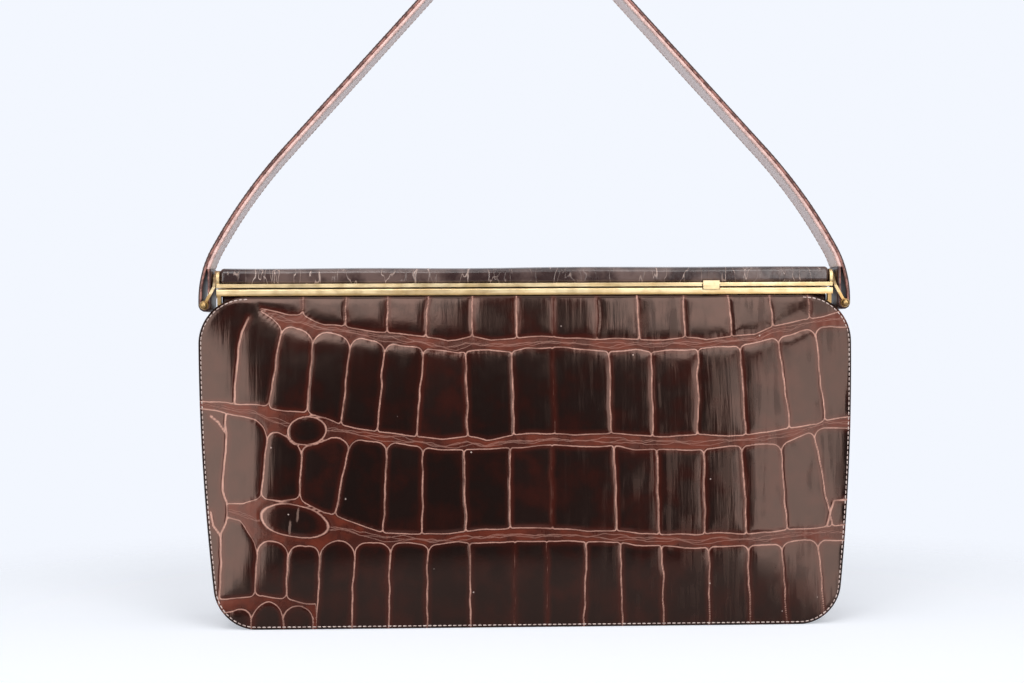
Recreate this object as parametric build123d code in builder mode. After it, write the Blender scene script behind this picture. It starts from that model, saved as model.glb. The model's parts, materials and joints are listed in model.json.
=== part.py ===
"""Frame handbag in alligator leather, hung by one long strap handle.

Lengths are millimetres. X runs along the bag, the front looks towards -Y and Z is up.
The origin is on the floor, under the middle of the bag.
"""
import os

from build123d import *

# Clearances
overrun = 6.0  # how far a cutting tool reaches past what it cuts
seat_gap = 0.1  # beside a piece that sits in a slot
free_gap = 0.4  # between pieces that move past each other
pin_gap = 0.05  # round a pin that turns

# Leather panels
panel_height = 140.0
panel_top_width = 280.6
panel_base_width = 261.0
panel_side_bow = 2.5  # how far the sides stand out of straight lines
panel_top_corner = 20.2
panel_base_corner = 16.0
panel_thickness = 2.4
panel_bulge = 6.0  # how far the middle stands out of the edge
base_depth = 50.0  # over both panels at the floor
mouth_depth = 20.0  # over both panels at the frame
bulge_height_shares = [0, 0.25, 0.55, 0.85, 1]  # of panel_height
bulge_shares = [0.12, 0.8, 1, 0.5, 0.08]  # of panel_bulge, at those heights

# Scales of the hide, as grooves cut into the panels
groove_depth = 0.6
groove_width = 1.2
band_width = 4.6  # the wrinkled bands between rows of scales

# Middle line of each band: shares of half panel_top_width, then of panel_height
band_shares = [
    [(-0.84, 0.95), (-0.55, 0.894), (-0.32, 0.859), (0.13, 0.853), (0.53, 0.859), (0.74, 0.892),
     (1.02, 0.945)],
    [(-1.02, 0.67), (-0.7, 0.645), (-0.45, 0.585), (-0.14, 0.556), (0.38, 0.562), (0.67, 0.565),
     (1.02, 0.63)],
    [(-1.02, 0.36), (-0.565, 0.295), (-0.295, 0.262), (0.07, 0.28), (0.35, 0.264), (0.67, 0.262),
     (1.02, 0.285)],
]

# Grooves between scales, row by row from the top: each at the row's upper and lower end
scale_shares = [
    [(-0.67, -0.68), (-0.54, -0.55), (-0.415, -0.42), (-0.29, -0.3), (-0.16, -0.165), (-0.03, -0.03),
     (0.08, 0.085), (0.225, 0.22), (0.335, 0.34), (0.475, 0.485), (0.61, 0.625), (0.735, 0.75),
     (0.855, 0.865)],
    [(-0.87, -0.885), (-0.74, -0.775), (-0.645, -0.665), (-0.535, -0.56), (-0.43, -0.455), (-0.315, -0.335),
     (-0.18, -0.175), (-0.045, -0.035), (0.08, 0.09), (0.25, 0.26), (0.38, 0.385), (0.525, 0.525),
     (0.65, 0.67), (0.765, 0.8), (0.875, 0.91)],
    [(-0.91, -0.92), (-0.785, -0.8), (-0.68, -0.69), (-0.54, -0.58), (-0.42, -0.435), (-0.315, -0.315),
     (-0.185, -0.18), (-0.05, -0.05), (0.08, 0.08), (0.27, 0.275), (0.4, 0.405), (0.54, 0.545),
     (0.66, 0.67), (0.775, 0.79), (0.875, 0.92)],
    [(-0.93, -0.93), (-0.815, -0.825), (-0.72, -0.735), (-0.625, -0.64), (-0.52, -0.535), (-0.415, -0.42),
     (-0.3, -0.305), (-0.17, -0.165), (-0.035, -0.035), (0.065, 0.065), (0.185, 0.17), (0.285, 0.295),
     (0.415, 0.42), (0.555, 0.56), (0.675, 0.685), (0.78, 0.8), (0.89, 0.92)],
]

# Gusset and lining
gusset_thickness = 1.4
gusset_inset = 1.2  # the panel's edge stands past the gusset by this much
fold_base = 30.0  # height at which the sides begin to fold inwards
fold_start = 0.8  # how far the crease lies inwards at the fold's base
fold_depth = 26.0  # how far the crease lies inwards at the fold's top
fold_margin = 20.0  # from the fold's widest level up to the panel's top
lining_thickness = 0.8
lining_base_inset = 10.5  # inside the panel's edge at the floor
lining_top_inset = 36.3  # inside the panel's edge at the frame
lining_corner = 3.0
lining_gap = 1.0  # between the lining and the leather at the floor

# Brass frame
jaw_inset = 7.8  # from the panel's widest edge to the end of a jaw
rail_height = 2.8
rail_depth = 4.4
rail_gap = 0.4  # between the panel's top edge and the rail
rail_round = 0.6
lip_wall = 0.7  # brass in front of the leather that the rail grips
slot_depth = 1.2
tongue_thickness = 1.6
tongue_inset = 4.0  # inside the straight part of the panel's top edge
arm_drop = 42.0  # from the rail down to the hinge
arm_thickness = 1.6
arm_radius = 1.4
arm_inset = 3.9  # from the front of the rail to the middle of the arm
eye_radius = 3.5
hinge_pin_radius = 1.2
hinge_head_radius = 2.4
hinge_head_height = 0.7

# Top bar
tray_gap = 0.6  # between the front rail and the tray
tray_floor = 0.8
tray_wall = 0.8
tray_rim = 1.6
end_wall = 1.2
end_wall_height = 7.4
end_wall_round = 3.2
pad_height = 7.8
pad_round = 3.4

# Clasp
clasp_place = 79.7  # right of the middle
clasp_width = 7.0
clasp_plate = 0.6
clasp_notch = 0.9  # cut into the top of the front rail
clasp_sink = 0.15  # from the notch's floor to the lever
clasp_tab_height = 3.7
clasp_bead_radius = 0.35
clasp_groove_radius = 0.55
clasp_bead_inset = 2.2  # from the front of the rail
clasp_pivot = 2.0  # behind the middle of the frame
clasp_pivot_drop = 1.9  # under the tray
clasp_pin_radius = 0.6
clasp_barrel_radius = 1.1
clasp_spring_radius = 1.0
clasp_spring_length = 1.0
clasp_ear = 0.8
clasp_ear_radius = 1.5

# Handle
strap_width = 18.0
strap_layer = 1.5
strap_shoulder_rise = 3.2  # over the stud, where the strap starts to lean in
strap_elbow_rise = 34.2  # over the shoulder
strap_elbow_inset = 19.4  # from the strap's foot towards the middle
strap_lean_share = 1.1  # rise of the two straight runs, as a share of their run to the middle
strap_shoulder_radius = 46.0
strap_elbow_radius = 225.0
strap_peak_radius = 46.0
strap_tab_rise = 4.5  # over the stud
loop_share = 0.99  # of the loop's radius, so that the two bends of the loop stay apart
bar_radius = 1.2
bar_drop = 11.1  # under the stud
ball_radius = 1.7
ball_gap = 1.5  # from the lug's leg to the middle of the ball
lug_thickness = 1.2
lug_leg = 1.6
lug_head_radius = 4.0
lug_knee_drop = 3.5  # under the stud
lug_eye_radius = 1.9
stud_radius = 1.5
stud_head_radius = 2.6
stud_head_height = 0.6
stud_rise = 3.7  # over the tray's underside

# Levels and places that follow
rail_base = panel_height + rail_gap
rail_top = rail_base + rail_height
tray_base = rail_top + tray_gap
pad_base = tray_base + tray_floor
hinge_height = rail_base - arm_drop
half_mouth = mouth_depth / 2
half_jaw = panel_top_width / 2 - jaw_inset
rail_inner = half_mouth - rail_depth
slot_width = tongue_thickness + 2 * seat_gap
tongue_outer = half_mouth - lip_wall - seat_gap
tongue_inner = tongue_outer - tongue_thickness
back_arm_outer = half_jaw - arm_thickness - free_gap
pin_inner = back_arm_outer - arm_thickness
clasp_pivot_height = tray_base - clasp_pivot_drop
clasp_lever_base = rail_top - clasp_notch + clasp_sink
stud_height = tray_base + stud_rise
bar_height = stud_height - bar_drop
lug_knee_height = stud_height - lug_knee_drop
strap_shoulder = stud_height + strap_shoulder_rise
strap_elbow_height = strap_shoulder + strap_elbow_rise
strap_tab_top = stud_height + strap_tab_rise
fold_top = panel_height - fold_margin
tongue_reach = pin_inner - hinge_head_height - free_gap
lug_inner = half_jaw + free_gap
lug_middle = lug_inner + lug_thickness / 2
stud_head_base = lug_inner + lug_thickness + seat_gap
loop_radius = bar_radius + pin_gap + strap_layer / 2
tab_place = stud_head_base + stud_head_height + seat_gap + strap_layer / 2
bar_place = tab_place + loop_radius
foot_place = bar_place + loop_radius
elbow_place = foot_place - strap_elbow_inset
strap_peak = strap_elbow_height + strap_lean_share * elbow_place
leg_inner = strap_width / 2 + free_gap
leg_outer = leg_inner + lug_leg


def edge_depth(height):
    """Distance from the middle of the bag to the outside of a panel's edge."""
    return base_depth / 2 + (mouth_depth - base_depth) / 2 * height / panel_height


def edge_place(height):
    """Distance from the middle of the bag to the side edge of a panel, which bows out as a parabola."""
    share = height / panel_height
    flare = (panel_top_width - panel_base_width) / 2 * share
    return panel_base_width / 2 + flare + 4 * panel_side_bow * share * (1 - share)


def band_height(band, place):
    """Height share of a band at a share of the half width, straight between its points."""
    for (x_0, z_0), (x_1, z_1) in zip(band, band[1:]):
        if place <= x_1:
            return z_0 + (z_1 - z_0) * (place - x_0) / (x_1 - x_0)
    return band[-1][1]


def pillow(recess, thickness):
    """Pillowed shell of the front panel before its outline is cut, its face set back by recess."""
    span = panel_top_width / 2 + free_gap
    with BuildPart() as shell:
        for height_share, bulge_share in zip(bulge_height_shares, bulge_shares):
            height = height_share * panel_height
            face = recess - edge_depth(height)
            back = thickness - edge_depth(height)
            rise = bulge_share * panel_bulge
            with BuildSketch(Plane.XY.offset(height)):
                with BuildLine():
                    ThreePointArc((-span, face), (0, face - rise), (span, face))
                    Line((span, face), (span, back))
                    ThreePointArc((span, back), (0, back - rise), (-span, back))
                    Line((-span, back), (-span, face))
                make_face()
        loft()
    return shell.part


def panel_outline(inset):
    """Sketch of the panel seen from the front, its edge moved inwards by inset."""
    with BuildSketch(Plane.XZ) as outline:
        with BuildLine():
            Line((-edge_place(0), 0), (edge_place(0), 0))
            for side in (-1, 1):
                levels = (0, panel_height / 2, panel_height)
                ThreePointArc(*[(side * edge_place(level), level) for level in levels])
            Line((-edge_place(panel_height), panel_height), (edge_place(panel_height), panel_height))
        make_face()
        fillet(outline.vertices().group_by(Axis.Y)[0], panel_base_corner)
        fillet(outline.vertices().group_by(Axis.Y)[-1], panel_top_corner)
        offset(amount=-inset)
    return outline.sketch


def panel_grooves():
    """Tool that cuts the grooves of the hide into the pillowed face of the front panel."""
    half_width = panel_top_width / 2
    row_tops = [None] + band_shares
    row_bases = band_shares + [None]
    with BuildPart() as tool:
        with BuildSketch(Plane.XZ):
            with BuildLine() as bands:
                for band in band_shares:
                    Spline(*[(x * half_width, z * panel_height) for x, z in band])
            trace(bands.line, line_width=band_width)
            with BuildLine() as scale_lines:
                for row, band_over, band_under in zip(scale_shares, row_tops, row_bases):
                    for upper, lower in row:
                        top = band_height(band_over, upper) if band_over else 1
                        base = band_height(band_under, lower) if band_under else 0
                        start = (upper * half_width, top * panel_height)
                        Line(start, (lower * half_width, base * panel_height))
            trace(scale_lines.line, line_width=groove_width)
        extrude(amount=base_depth)
        add(pillow(groove_depth, base_depth), mode=Mode.SUBTRACT)
    return tool.part


os.makedirs("parts", exist_ok=True)

# Front panel: pillowed leather with a thin tongue along its top that the frame grips
with BuildPart() as front_panel:
    add(pillow(0, panel_thickness))
    extrude(panel_outline(0), amount=base_depth, mode=Mode.INTERSECT)
    add(panel_grooves(), mode=Mode.SUBTRACT)
    with BuildSketch(Plane.YZ):
        with BuildLine():
            Polyline(
                (-tongue_outer, panel_height - slot_depth),
                (-tongue_outer, rail_base + slot_depth - seat_gap),
                (-tongue_inner, rail_base + slot_depth - seat_gap),
                (-tongue_inner, panel_height - slot_depth),
                close=True,
            )
        make_face()
    extrude(amount=panel_top_width / 2 - panel_top_corner - tongue_inset, both=True)
front_panel.part.label = "front_panel"
export_step(front_panel.part, "parts/front_panel.step")

# Back panel: the same hide and outline, looking the other way
with BuildPart() as back_panel:
    add(front_panel.part)
    mirror(about=Plane.XZ, mode=Mode.REPLACE)
back_panel.part.label = "back_panel"
export_step(back_panel.part, "parts/back_panel.step")

# Gusset: bottom and sides in one strip, the sides folding inwards towards the frame
with BuildPart() as gusset:
    with BuildSketch(Plane.XZ):
        add(panel_outline(gusset_inset))
        add(panel_outline(gusset_inset + gusset_thickness), mode=Mode.SUBTRACT)
        with Locations((0, fold_base)):
            Rectangle(panel_top_width, panel_height, align=(Align.CENTER, Align.MIN), mode=Mode.SUBTRACT)
    extrude(amount=base_depth, both=True)
    with BuildSketch(Plane.YZ):
        with BuildLine():
            base_edge = edge_depth(0) - panel_thickness
            top_edge = edge_depth(panel_height) - panel_thickness
            Polyline(
                (-base_edge, 0),
                (base_edge, 0),
                (top_edge, panel_height),
                (-top_edge, panel_height),
                close=True,
            )
        make_face()
    extrude(amount=panel_top_width, both=True, mode=Mode.INTERSECT)
    base_outer = edge_place(fold_base) - gusset_inset
    top_outer = edge_place(fold_top) - gusset_inset
    top_depth = edge_depth(fold_top) - panel_thickness
    crease = top_outer - fold_depth
    tongue_depth = top_depth * (tongue_reach - crease) / fold_depth
    side_fold = [
        (fold_base, base_outer, edge_depth(fold_base) - panel_thickness, base_outer - fold_start),
        (fold_top, top_outer, top_depth, crease),
    ]
    upper_fold = [
        (fold_top, tongue_reach, tongue_depth, crease),
        (panel_height - free_gap, tongue_reach, rail_inner - free_gap, crease),
    ]
    for side in (-1, 1):
        for levels in (side_fold, upper_fold):
            for height, outer, depth, inner in levels:
                with BuildSketch(Plane.XY.offset(height)):
                    with BuildLine():
                        Polyline(
                            (side * outer, -depth),
                            (side * inner, 0),
                            (side * outer, depth),
                            (side * (outer - gusset_thickness), depth),
                            (side * (inner - gusset_thickness), 0),
                            (side * (outer - gusset_thickness), -depth),
                            close=True,
                        )
                    make_face()
            loft(ruled=True)
gusset.part.label = "gusset"
export_step(gusset.part, "parts/gusset.step")

# Lining: an open pouch inside the leather, its top edge inside the frame's rails
lining_base = gusset_inset + gusset_thickness + lining_gap
lining_top = rail_base + slot_depth
with BuildPart() as lining:
    for wall, floor, mode in ((0, 0, Mode.ADD), (lining_thickness, lining_thickness, Mode.SUBTRACT)):
        with BuildSketch(Plane.XY.offset(lining_base + floor)):
            RectangleRounded(
                panel_base_width - 2 * (lining_base_inset + wall),
                2 * (edge_depth(lining_base) - panel_thickness - lining_gap - wall),
                lining_corner - wall,
            )
        with BuildSketch(Plane.XY.offset(lining_top)):
            RectangleRounded(
                panel_top_width - 2 * (lining_top_inset + wall),
                2 * (rail_inner - free_gap - wall),
                lining_corner - wall,
            )
        loft(ruled=True, mode=mode)
lining.part.label = "lining"
export_step(lining.part, "parts/lining.step")


def rail_section(top):
    """Section of a jaw's rail at the front, with the slot that grips the panel's tongue."""
    with BuildSketch(Plane.YZ) as section:
        with BuildLine():
            Polyline(
                (-half_mouth, rail_base),
                (-half_mouth, top),
                (-rail_inner, top),
                (-rail_inner, rail_base),
                (-half_mouth + lip_wall + slot_width, rail_base),
                (-half_mouth + lip_wall + slot_width, rail_base + slot_depth),
                (-half_mouth + lip_wall, rail_base + slot_depth),
                (-half_mouth + lip_wall, rail_base),
                close=True,
            )
        make_face()
    return section.sketch


def arm_section(outer, hole_radius):
    """Arm of a front jaw in side view, from the rail down to the hinge eye, on its outer plane."""
    with BuildSketch(Plane.YZ.offset(outer)) as section:
        with Locations((arm_inset - half_mouth, rail_base + rail_height / 2)):
            Circle(arm_radius)
        with Locations((0, hinge_height)):
            Circle(eye_radius)
        make_hull()
        with Locations((0, hinge_height)):
            Circle(hole_radius, mode=Mode.SUBTRACT)
    return section.sketch


# Front jaw: the lower bright rail, its two arms and the notch for the clasp
with BuildPart() as front_jaw:
    extrude(rail_section(rail_top), amount=half_jaw, both=True)
    fillet(front_jaw.edges().filter_by(Axis.X).group_by(Axis.Z)[-1], rail_round)
    extrude(arm_section(half_jaw, hinge_pin_radius + pin_gap), amount=-arm_thickness)
    extrude(arm_section(-half_jaw, hinge_pin_radius + pin_gap), amount=arm_thickness)
    with Locations((clasp_place, -half_mouth, rail_top)):
        Box(clasp_width + 2 * free_gap, rail_depth + overrun, 2 * clasp_notch, mode=Mode.SUBTRACT,
            align=(Align.CENTER, Align.CENTER, Align.CENTER))
    with Locations((clasp_place, clasp_bead_inset - half_mouth, rail_top - clasp_notch)):
        Cylinder(clasp_groove_radius, clasp_width + 2 * free_gap, rotation=(0, 90, 0), mode=Mode.SUBTRACT)
front_jaw.part.label = "front_jaw"
export_step(front_jaw.part, "parts/front_jaw.step")

# Back jaw: a taller rail that carries the top bar, with its arms inside the front jaw's
with BuildPart() as back_jaw:
    extrude(rail_section(tray_base), amount=half_jaw, both=True)
    extrude(arm_section(back_arm_outer, hinge_pin_radius), amount=-arm_thickness)
    extrude(arm_section(-back_arm_outer, hinge_pin_radius), amount=arm_thickness)
    mirror(about=Plane.XZ, mode=Mode.REPLACE)
back_jaw.part.label = "back_jaw"
export_step(back_jaw.part, "parts/back_jaw.step")

# Hinge pins: rivets through the eyes of both arms
for name, side in (("left", -1), ("right", 1)):
    with BuildPart() as hinge_pin:
        with BuildSketch(Plane.YZ.offset(side * pin_inner)):
            with Locations((0, hinge_height)):
                Circle(hinge_pin_radius)
        extrude(amount=side * (half_jaw + pin_gap - pin_inner))
        for plane_place, reach in ((pin_inner, -hinge_head_height), (half_jaw + pin_gap, hinge_head_height)):
            with BuildSketch(Plane.YZ.offset(side * plane_place)):
                with Locations((0, hinge_height)):
                    Circle(hinge_head_radius)
            extrude(amount=side * reach)
    hinge_pin.part.label = f"hinge_pin_{name}"
    export_step(hinge_pin.part, f"parts/hinge_pin_{name}.step")

# Top bar tray: brass floor with low rims at the front and back and higher walls at its ends
with BuildPart() as top_bar_tray:
    with BuildSketch(Plane.YZ):
        with BuildLine():
            Polyline(
                (-half_mouth, tray_base),
                (half_mouth, tray_base),
                (half_mouth, tray_base + tray_rim),
                (half_mouth - tray_wall, tray_base + tray_rim),
                (half_mouth - tray_wall, pad_base),
                (tray_wall - half_mouth, pad_base),
                (tray_wall - half_mouth, tray_base + tray_rim),
                (-half_mouth, tray_base + tray_rim),
                close=True,
            )
        make_face()
    extrude(amount=half_jaw, both=True)
    for side in (-1, 1):
        with BuildSketch(Plane.YZ.offset(side * half_jaw)):
            with Locations((0, tray_base)):
                end_plate = Rectangle(mouth_depth, end_wall_height, align=(Align.CENTER, Align.MIN))
            fillet(end_plate.vertices().group_by(Axis.Z)[-1], end_wall_round)
            with Locations((0, stud_height)):
                Circle(stud_radius, mode=Mode.SUBTRACT)
        extrude(amount=-side * end_wall)
    with Locations((clasp_place, -half_mouth, tray_base)):
        Box(clasp_width + 2 * free_gap, rail_depth + overrun, 2 * tray_floor, mode=Mode.SUBTRACT)
top_bar_tray.part.label = "top_bar_tray"
export_step(top_bar_tray.part, "parts/top_bar_tray.step")

# Top bar pad: leather over a crowned strip, seated in the tray
with BuildPart() as top_bar_pad:
    with BuildSketch(Plane.YZ):
        with Locations((0, pad_base)):
            pad_face = Rectangle(
                mouth_depth - 2 * (tray_wall + seat_gap), pad_height, align=(Align.CENTER, Align.MIN)
            )
        fillet(pad_face.vertices().group_by(Axis.Z)[-1], pad_round)
    extrude(amount=half_jaw - end_wall - seat_gap, both=True)
top_bar_pad.part.label = "top_bar_pad"
export_step(top_bar_pad.part, "parts/top_bar_pad.step")

# Clasp bracket: a plate under the tray with two ears for the lever's pin
ear_inner = clasp_width / 2 + clasp_spring_length + free_gap
bracket_length = rail_inner - clasp_pivot - free_gap
ear_outer = ear_inner + clasp_ear
with BuildPart() as clasp_bracket:
    with Locations((clasp_place, clasp_pivot, tray_base)):
        Box(2 * ear_outer, bracket_length, clasp_plate, align=(Align.CENTER, Align.MIN, Align.MAX))
    for side in (-1, 1):
        with BuildSketch(Plane.YZ.offset(clasp_place + side * ear_outer)):
            with Locations((clasp_pivot, clasp_pivot_height)):
                Circle(clasp_ear_radius)
            with Locations((clasp_pivot, tray_base)):
                Rectangle(bracket_length, clasp_plate, align=(Align.MIN, Align.MAX))
            make_hull()
            with Locations((clasp_pivot, clasp_pivot_height)):
                Circle(clasp_pin_radius, mode=Mode.SUBTRACT)
        extrude(amount=-side * clasp_ear)
clasp_bracket.part.label = "clasp_bracket"
export_step(clasp_bracket.part, "parts/clasp_bracket.step")

# Clasp pin and the coil spring beside the lever's barrel
with BuildPart() as clasp_pin:
    with Locations((clasp_place, clasp_pivot, clasp_pivot_height)):
        Cylinder(clasp_pin_radius, 2 * ear_outer, rotation=(0, 90, 0))
clasp_pin.part.label = "clasp_pin"
export_step(clasp_pin.part, "parts/clasp_pin.step")

with BuildPart() as clasp_spring:
    with BuildSketch(Plane.YZ.offset(clasp_place + ear_inner)):
        with Locations((clasp_pivot, clasp_pivot_height)):
            Circle(clasp_spring_radius)
            Circle(clasp_pin_radius + pin_gap, mode=Mode.SUBTRACT)
    extrude(amount=-clasp_spring_length)
clasp_spring.part.label = "clasp_spring"
export_step(clasp_spring.part, "parts/clasp_spring.step")

# Clasp lever: barrel on the pin, arm through the notch of the front rail, bead that snaps into
# the rail's groove and the thumb tab in front of the tray's rim
tab_face = half_mouth + free_gap + clasp_plate
with BuildPart() as clasp_lever:
    with BuildSketch(Plane.YZ.offset(clasp_place)):
        with Locations((clasp_pivot, clasp_pivot_height)):
            Circle(clasp_barrel_radius)
        with BuildLine():
            Polyline(
                (clasp_pivot, clasp_lever_base),
                (-tab_face, clasp_lever_base),
                (-tab_face, clasp_lever_base + clasp_tab_height),
                (clasp_plate - tab_face, clasp_lever_base + clasp_tab_height),
                (clasp_plate - tab_face, clasp_lever_base + clasp_plate),
                (clasp_pivot, clasp_lever_base + clasp_plate),
                close=True,
            )
        make_face()
        with Locations((clasp_bead_inset - half_mouth, clasp_lever_base)):
            Circle(clasp_bead_radius)
        with Locations((clasp_pivot, clasp_pivot_height)):
            Circle(clasp_pin_radius + pin_gap, mode=Mode.SUBTRACT)
    extrude(amount=clasp_width / 2, both=True)
clasp_lever.part.label = "clasp_lever"
export_step(clasp_lever.part, "parts/clasp_lever.step")

# Lugs, their studs and their bars, at both ends of the frame
for name, side in (("left", -1), ("right", 1)):
    with BuildPart() as lug:
        with BuildSketch(Plane.XZ):
            with BuildLine() as lug_line:
                Polyline(
                    (side * lug_middle, stud_height + lug_head_radius),
                    (side * lug_middle, lug_knee_height),
                    (side * bar_place, bar_height),
                )
            trace(lug_line.line, line_width=lug_thickness)
            with Locations((side * bar_place, bar_height)):
                Circle(lug_eye_radius)
        extrude(amount=leg_outer, both=True)
        with BuildSketch(Plane.YZ):
            with Locations((0, stud_height)):
                Circle(lug_head_radius)
            with Locations((0, lug_knee_height)):
                Rectangle(2 * leg_outer, lug_knee_height - bar_height + lug_eye_radius + seat_gap,
                          align=(Align.CENTER, Align.MAX))
            make_hull()
        extrude(amount=side * (foot_place + overrun), mode=Mode.INTERSECT)
        with BuildSketch(Plane.YZ):
            with Locations((0, lug_knee_height)):
                Rectangle(2 * leg_inner, panel_height, align=(Align.CENTER, Align.MAX))
            with Locations((0, stud_height)):
                Circle(stud_radius + pin_gap)
        extrude(amount=side * (foot_place + overrun), mode=Mode.SUBTRACT)
        with Locations((side * bar_place, 0, bar_height)):
            Cylinder(bar_radius, 2 * leg_outer, rotation=(90, 0, 0), mode=Mode.SUBTRACT)
    lug.part.label = f"lug_{name}"
    export_step(lug.part, f"parts/lug_{name}.step")

    with BuildPart() as lug_stud:
        with BuildSketch(Plane.YZ.offset(side * (half_jaw - end_wall))):
            with Locations((0, stud_height)):
                Circle(stud_radius)
        extrude(amount=side * (stud_head_base + stud_head_height - half_jaw + end_wall))
        for start, reach in ((half_jaw, free_gap - seat_gap), (stud_head_base, stud_head_height)):
            with BuildSketch(Plane.YZ.offset(side * start)):
                with Locations((0, stud_height)):
                    Circle(stud_head_radius)
            extrude(amount=side * reach)
    lug_stud.part.label = f"lug_stud_{name}"
    export_step(lug_stud.part, f"parts/lug_stud_{name}.step")

    with BuildPart() as lug_bar:
        ball_place = leg_outer + ball_gap
        with Locations((side * bar_place, 0, bar_height)):
            Cylinder(bar_radius, 2 * ball_place, rotation=(90, 0, 0))
        with Locations(*[(side * bar_place, end * ball_place, bar_height) for end in (-1, 1)]):
            Sphere(ball_radius)
    lug_bar.part.label = f"lug_bar_{name}"
    export_step(lug_bar.part, f"parts/lug_bar_{name}.step")

# Strap: one outer layer from tab to tab, looped under the bars, and a lining between the tabs
loop_base = bar_height - loop_radius
with BuildPart() as strap:
    with BuildSketch(Plane.XZ):
        with BuildLine() as strap_line:
            FilletPolyline(
                (-tab_place, strap_tab_top),
                (-tab_place, loop_base),
                (-foot_place, loop_base),
                (-foot_place, strap_shoulder),
                (-elbow_place, strap_elbow_height),
                (0, strap_peak),
                (elbow_place, strap_elbow_height),
                (foot_place, strap_shoulder),
                (foot_place, loop_base),
                (tab_place, loop_base),
                (tab_place, strap_tab_top),
                radius=[
                    loop_share * loop_radius,
                    loop_share * loop_radius,
                    strap_shoulder_radius,
                    strap_elbow_radius,
                    strap_peak_radius,
                    strap_elbow_radius,
                    strap_shoulder_radius,
                    loop_share * loop_radius,
                    loop_share * loop_radius,
                ],
            )
        trace(strap_line.line, line_width=strap_layer)
    extrude(amount=strap_width / 2, both=True)
strap.part.label = "strap"
export_step(strap.part, "parts/strap.step")



def arch_outline(inset):
    """Sketch of the space under the strap's middle line, its edge moved inwards by inset."""
    with BuildSketch(Plane.XZ) as outline:
        with BuildLine():
            arch = FilletPolyline(
                (-foot_place, loop_base),
                (-foot_place, strap_shoulder),
                (-elbow_place, strap_elbow_height),
                (0, strap_peak),
                (elbow_place, strap_elbow_height),
                (foot_place, strap_shoulder),
                (foot_place, loop_base),
                radius=[
                    strap_shoulder_radius,
                    strap_elbow_radius,
                    strap_peak_radius,
                    strap_elbow_radius,
                    strap_shoulder_radius,
                ],
            )
            Line(arch @ 1, arch @ 0)
        make_face()
        offset(amount=-inset)
    return outline.sketch


with BuildPart() as strap_lining:
    with BuildSketch(Plane.XZ):
        add(arch_outline(strap_layer / 2))
        add(arch_outline(strap_layer + strap_layer / 2), mode=Mode.SUBTRACT)
        with Locations((0, strap_tab_top + seat_gap)):
            Rectangle(2 * panel_top_width, panel_height, align=(Align.CENTER, Align.MAX), mode=Mode.SUBTRACT)
    extrude(amount=strap_width / 2, both=True)
strap_lining.part.label = "strap_lining"
export_step(strap_lining.part, "parts/strap_lining.step")
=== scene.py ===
"""Looks of a frame handbag in glossy alligator leather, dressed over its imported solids.

Lengths are metres in the part's own frame: +X to the right as seen from the front, +Y to the back, +Z up.
The places of the scales are pixels of the photograph, cast through the scene's camera on to the front panel.
"""

import json
from math import pi, radians

import bpy
import numpy as np
from bpy.props import FloatProperty, FloatVectorProperty, IntProperty, PointerProperty
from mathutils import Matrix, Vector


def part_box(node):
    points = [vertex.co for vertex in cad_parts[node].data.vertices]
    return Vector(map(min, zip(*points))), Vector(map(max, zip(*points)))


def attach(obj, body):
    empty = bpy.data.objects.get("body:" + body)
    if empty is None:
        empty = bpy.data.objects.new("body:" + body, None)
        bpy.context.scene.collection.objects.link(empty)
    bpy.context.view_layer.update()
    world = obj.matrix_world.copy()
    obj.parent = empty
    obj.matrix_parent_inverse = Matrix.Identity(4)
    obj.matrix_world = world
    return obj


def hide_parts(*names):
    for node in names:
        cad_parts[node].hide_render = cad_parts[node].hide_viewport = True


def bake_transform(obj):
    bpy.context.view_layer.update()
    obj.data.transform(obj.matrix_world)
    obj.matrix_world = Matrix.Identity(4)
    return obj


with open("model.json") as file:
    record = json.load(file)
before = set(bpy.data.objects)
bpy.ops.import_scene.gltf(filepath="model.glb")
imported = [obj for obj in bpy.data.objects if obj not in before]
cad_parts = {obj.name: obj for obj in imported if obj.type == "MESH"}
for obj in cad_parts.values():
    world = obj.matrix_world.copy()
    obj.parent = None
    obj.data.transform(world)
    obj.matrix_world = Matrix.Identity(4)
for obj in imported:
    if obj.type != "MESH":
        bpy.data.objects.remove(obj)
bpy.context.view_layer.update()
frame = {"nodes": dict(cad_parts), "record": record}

bl_info = {
    "name": "Alligator Frame Handbag",
    "version": (1, 0, 0),
    "blender": (4, 5, 0),
    "location": "View3D > Sidebar > Handbag",
    "description": "Builds the visible leather, stitching, metal and studio of a frame handbag",
    "category": "Object",
}

MM = 0.001
PHOTO_WIDTH = 1024
PHOTO_MIDDLE = (512.0, 341.5)
SENSOR_WIDTH = 36.0

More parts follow.
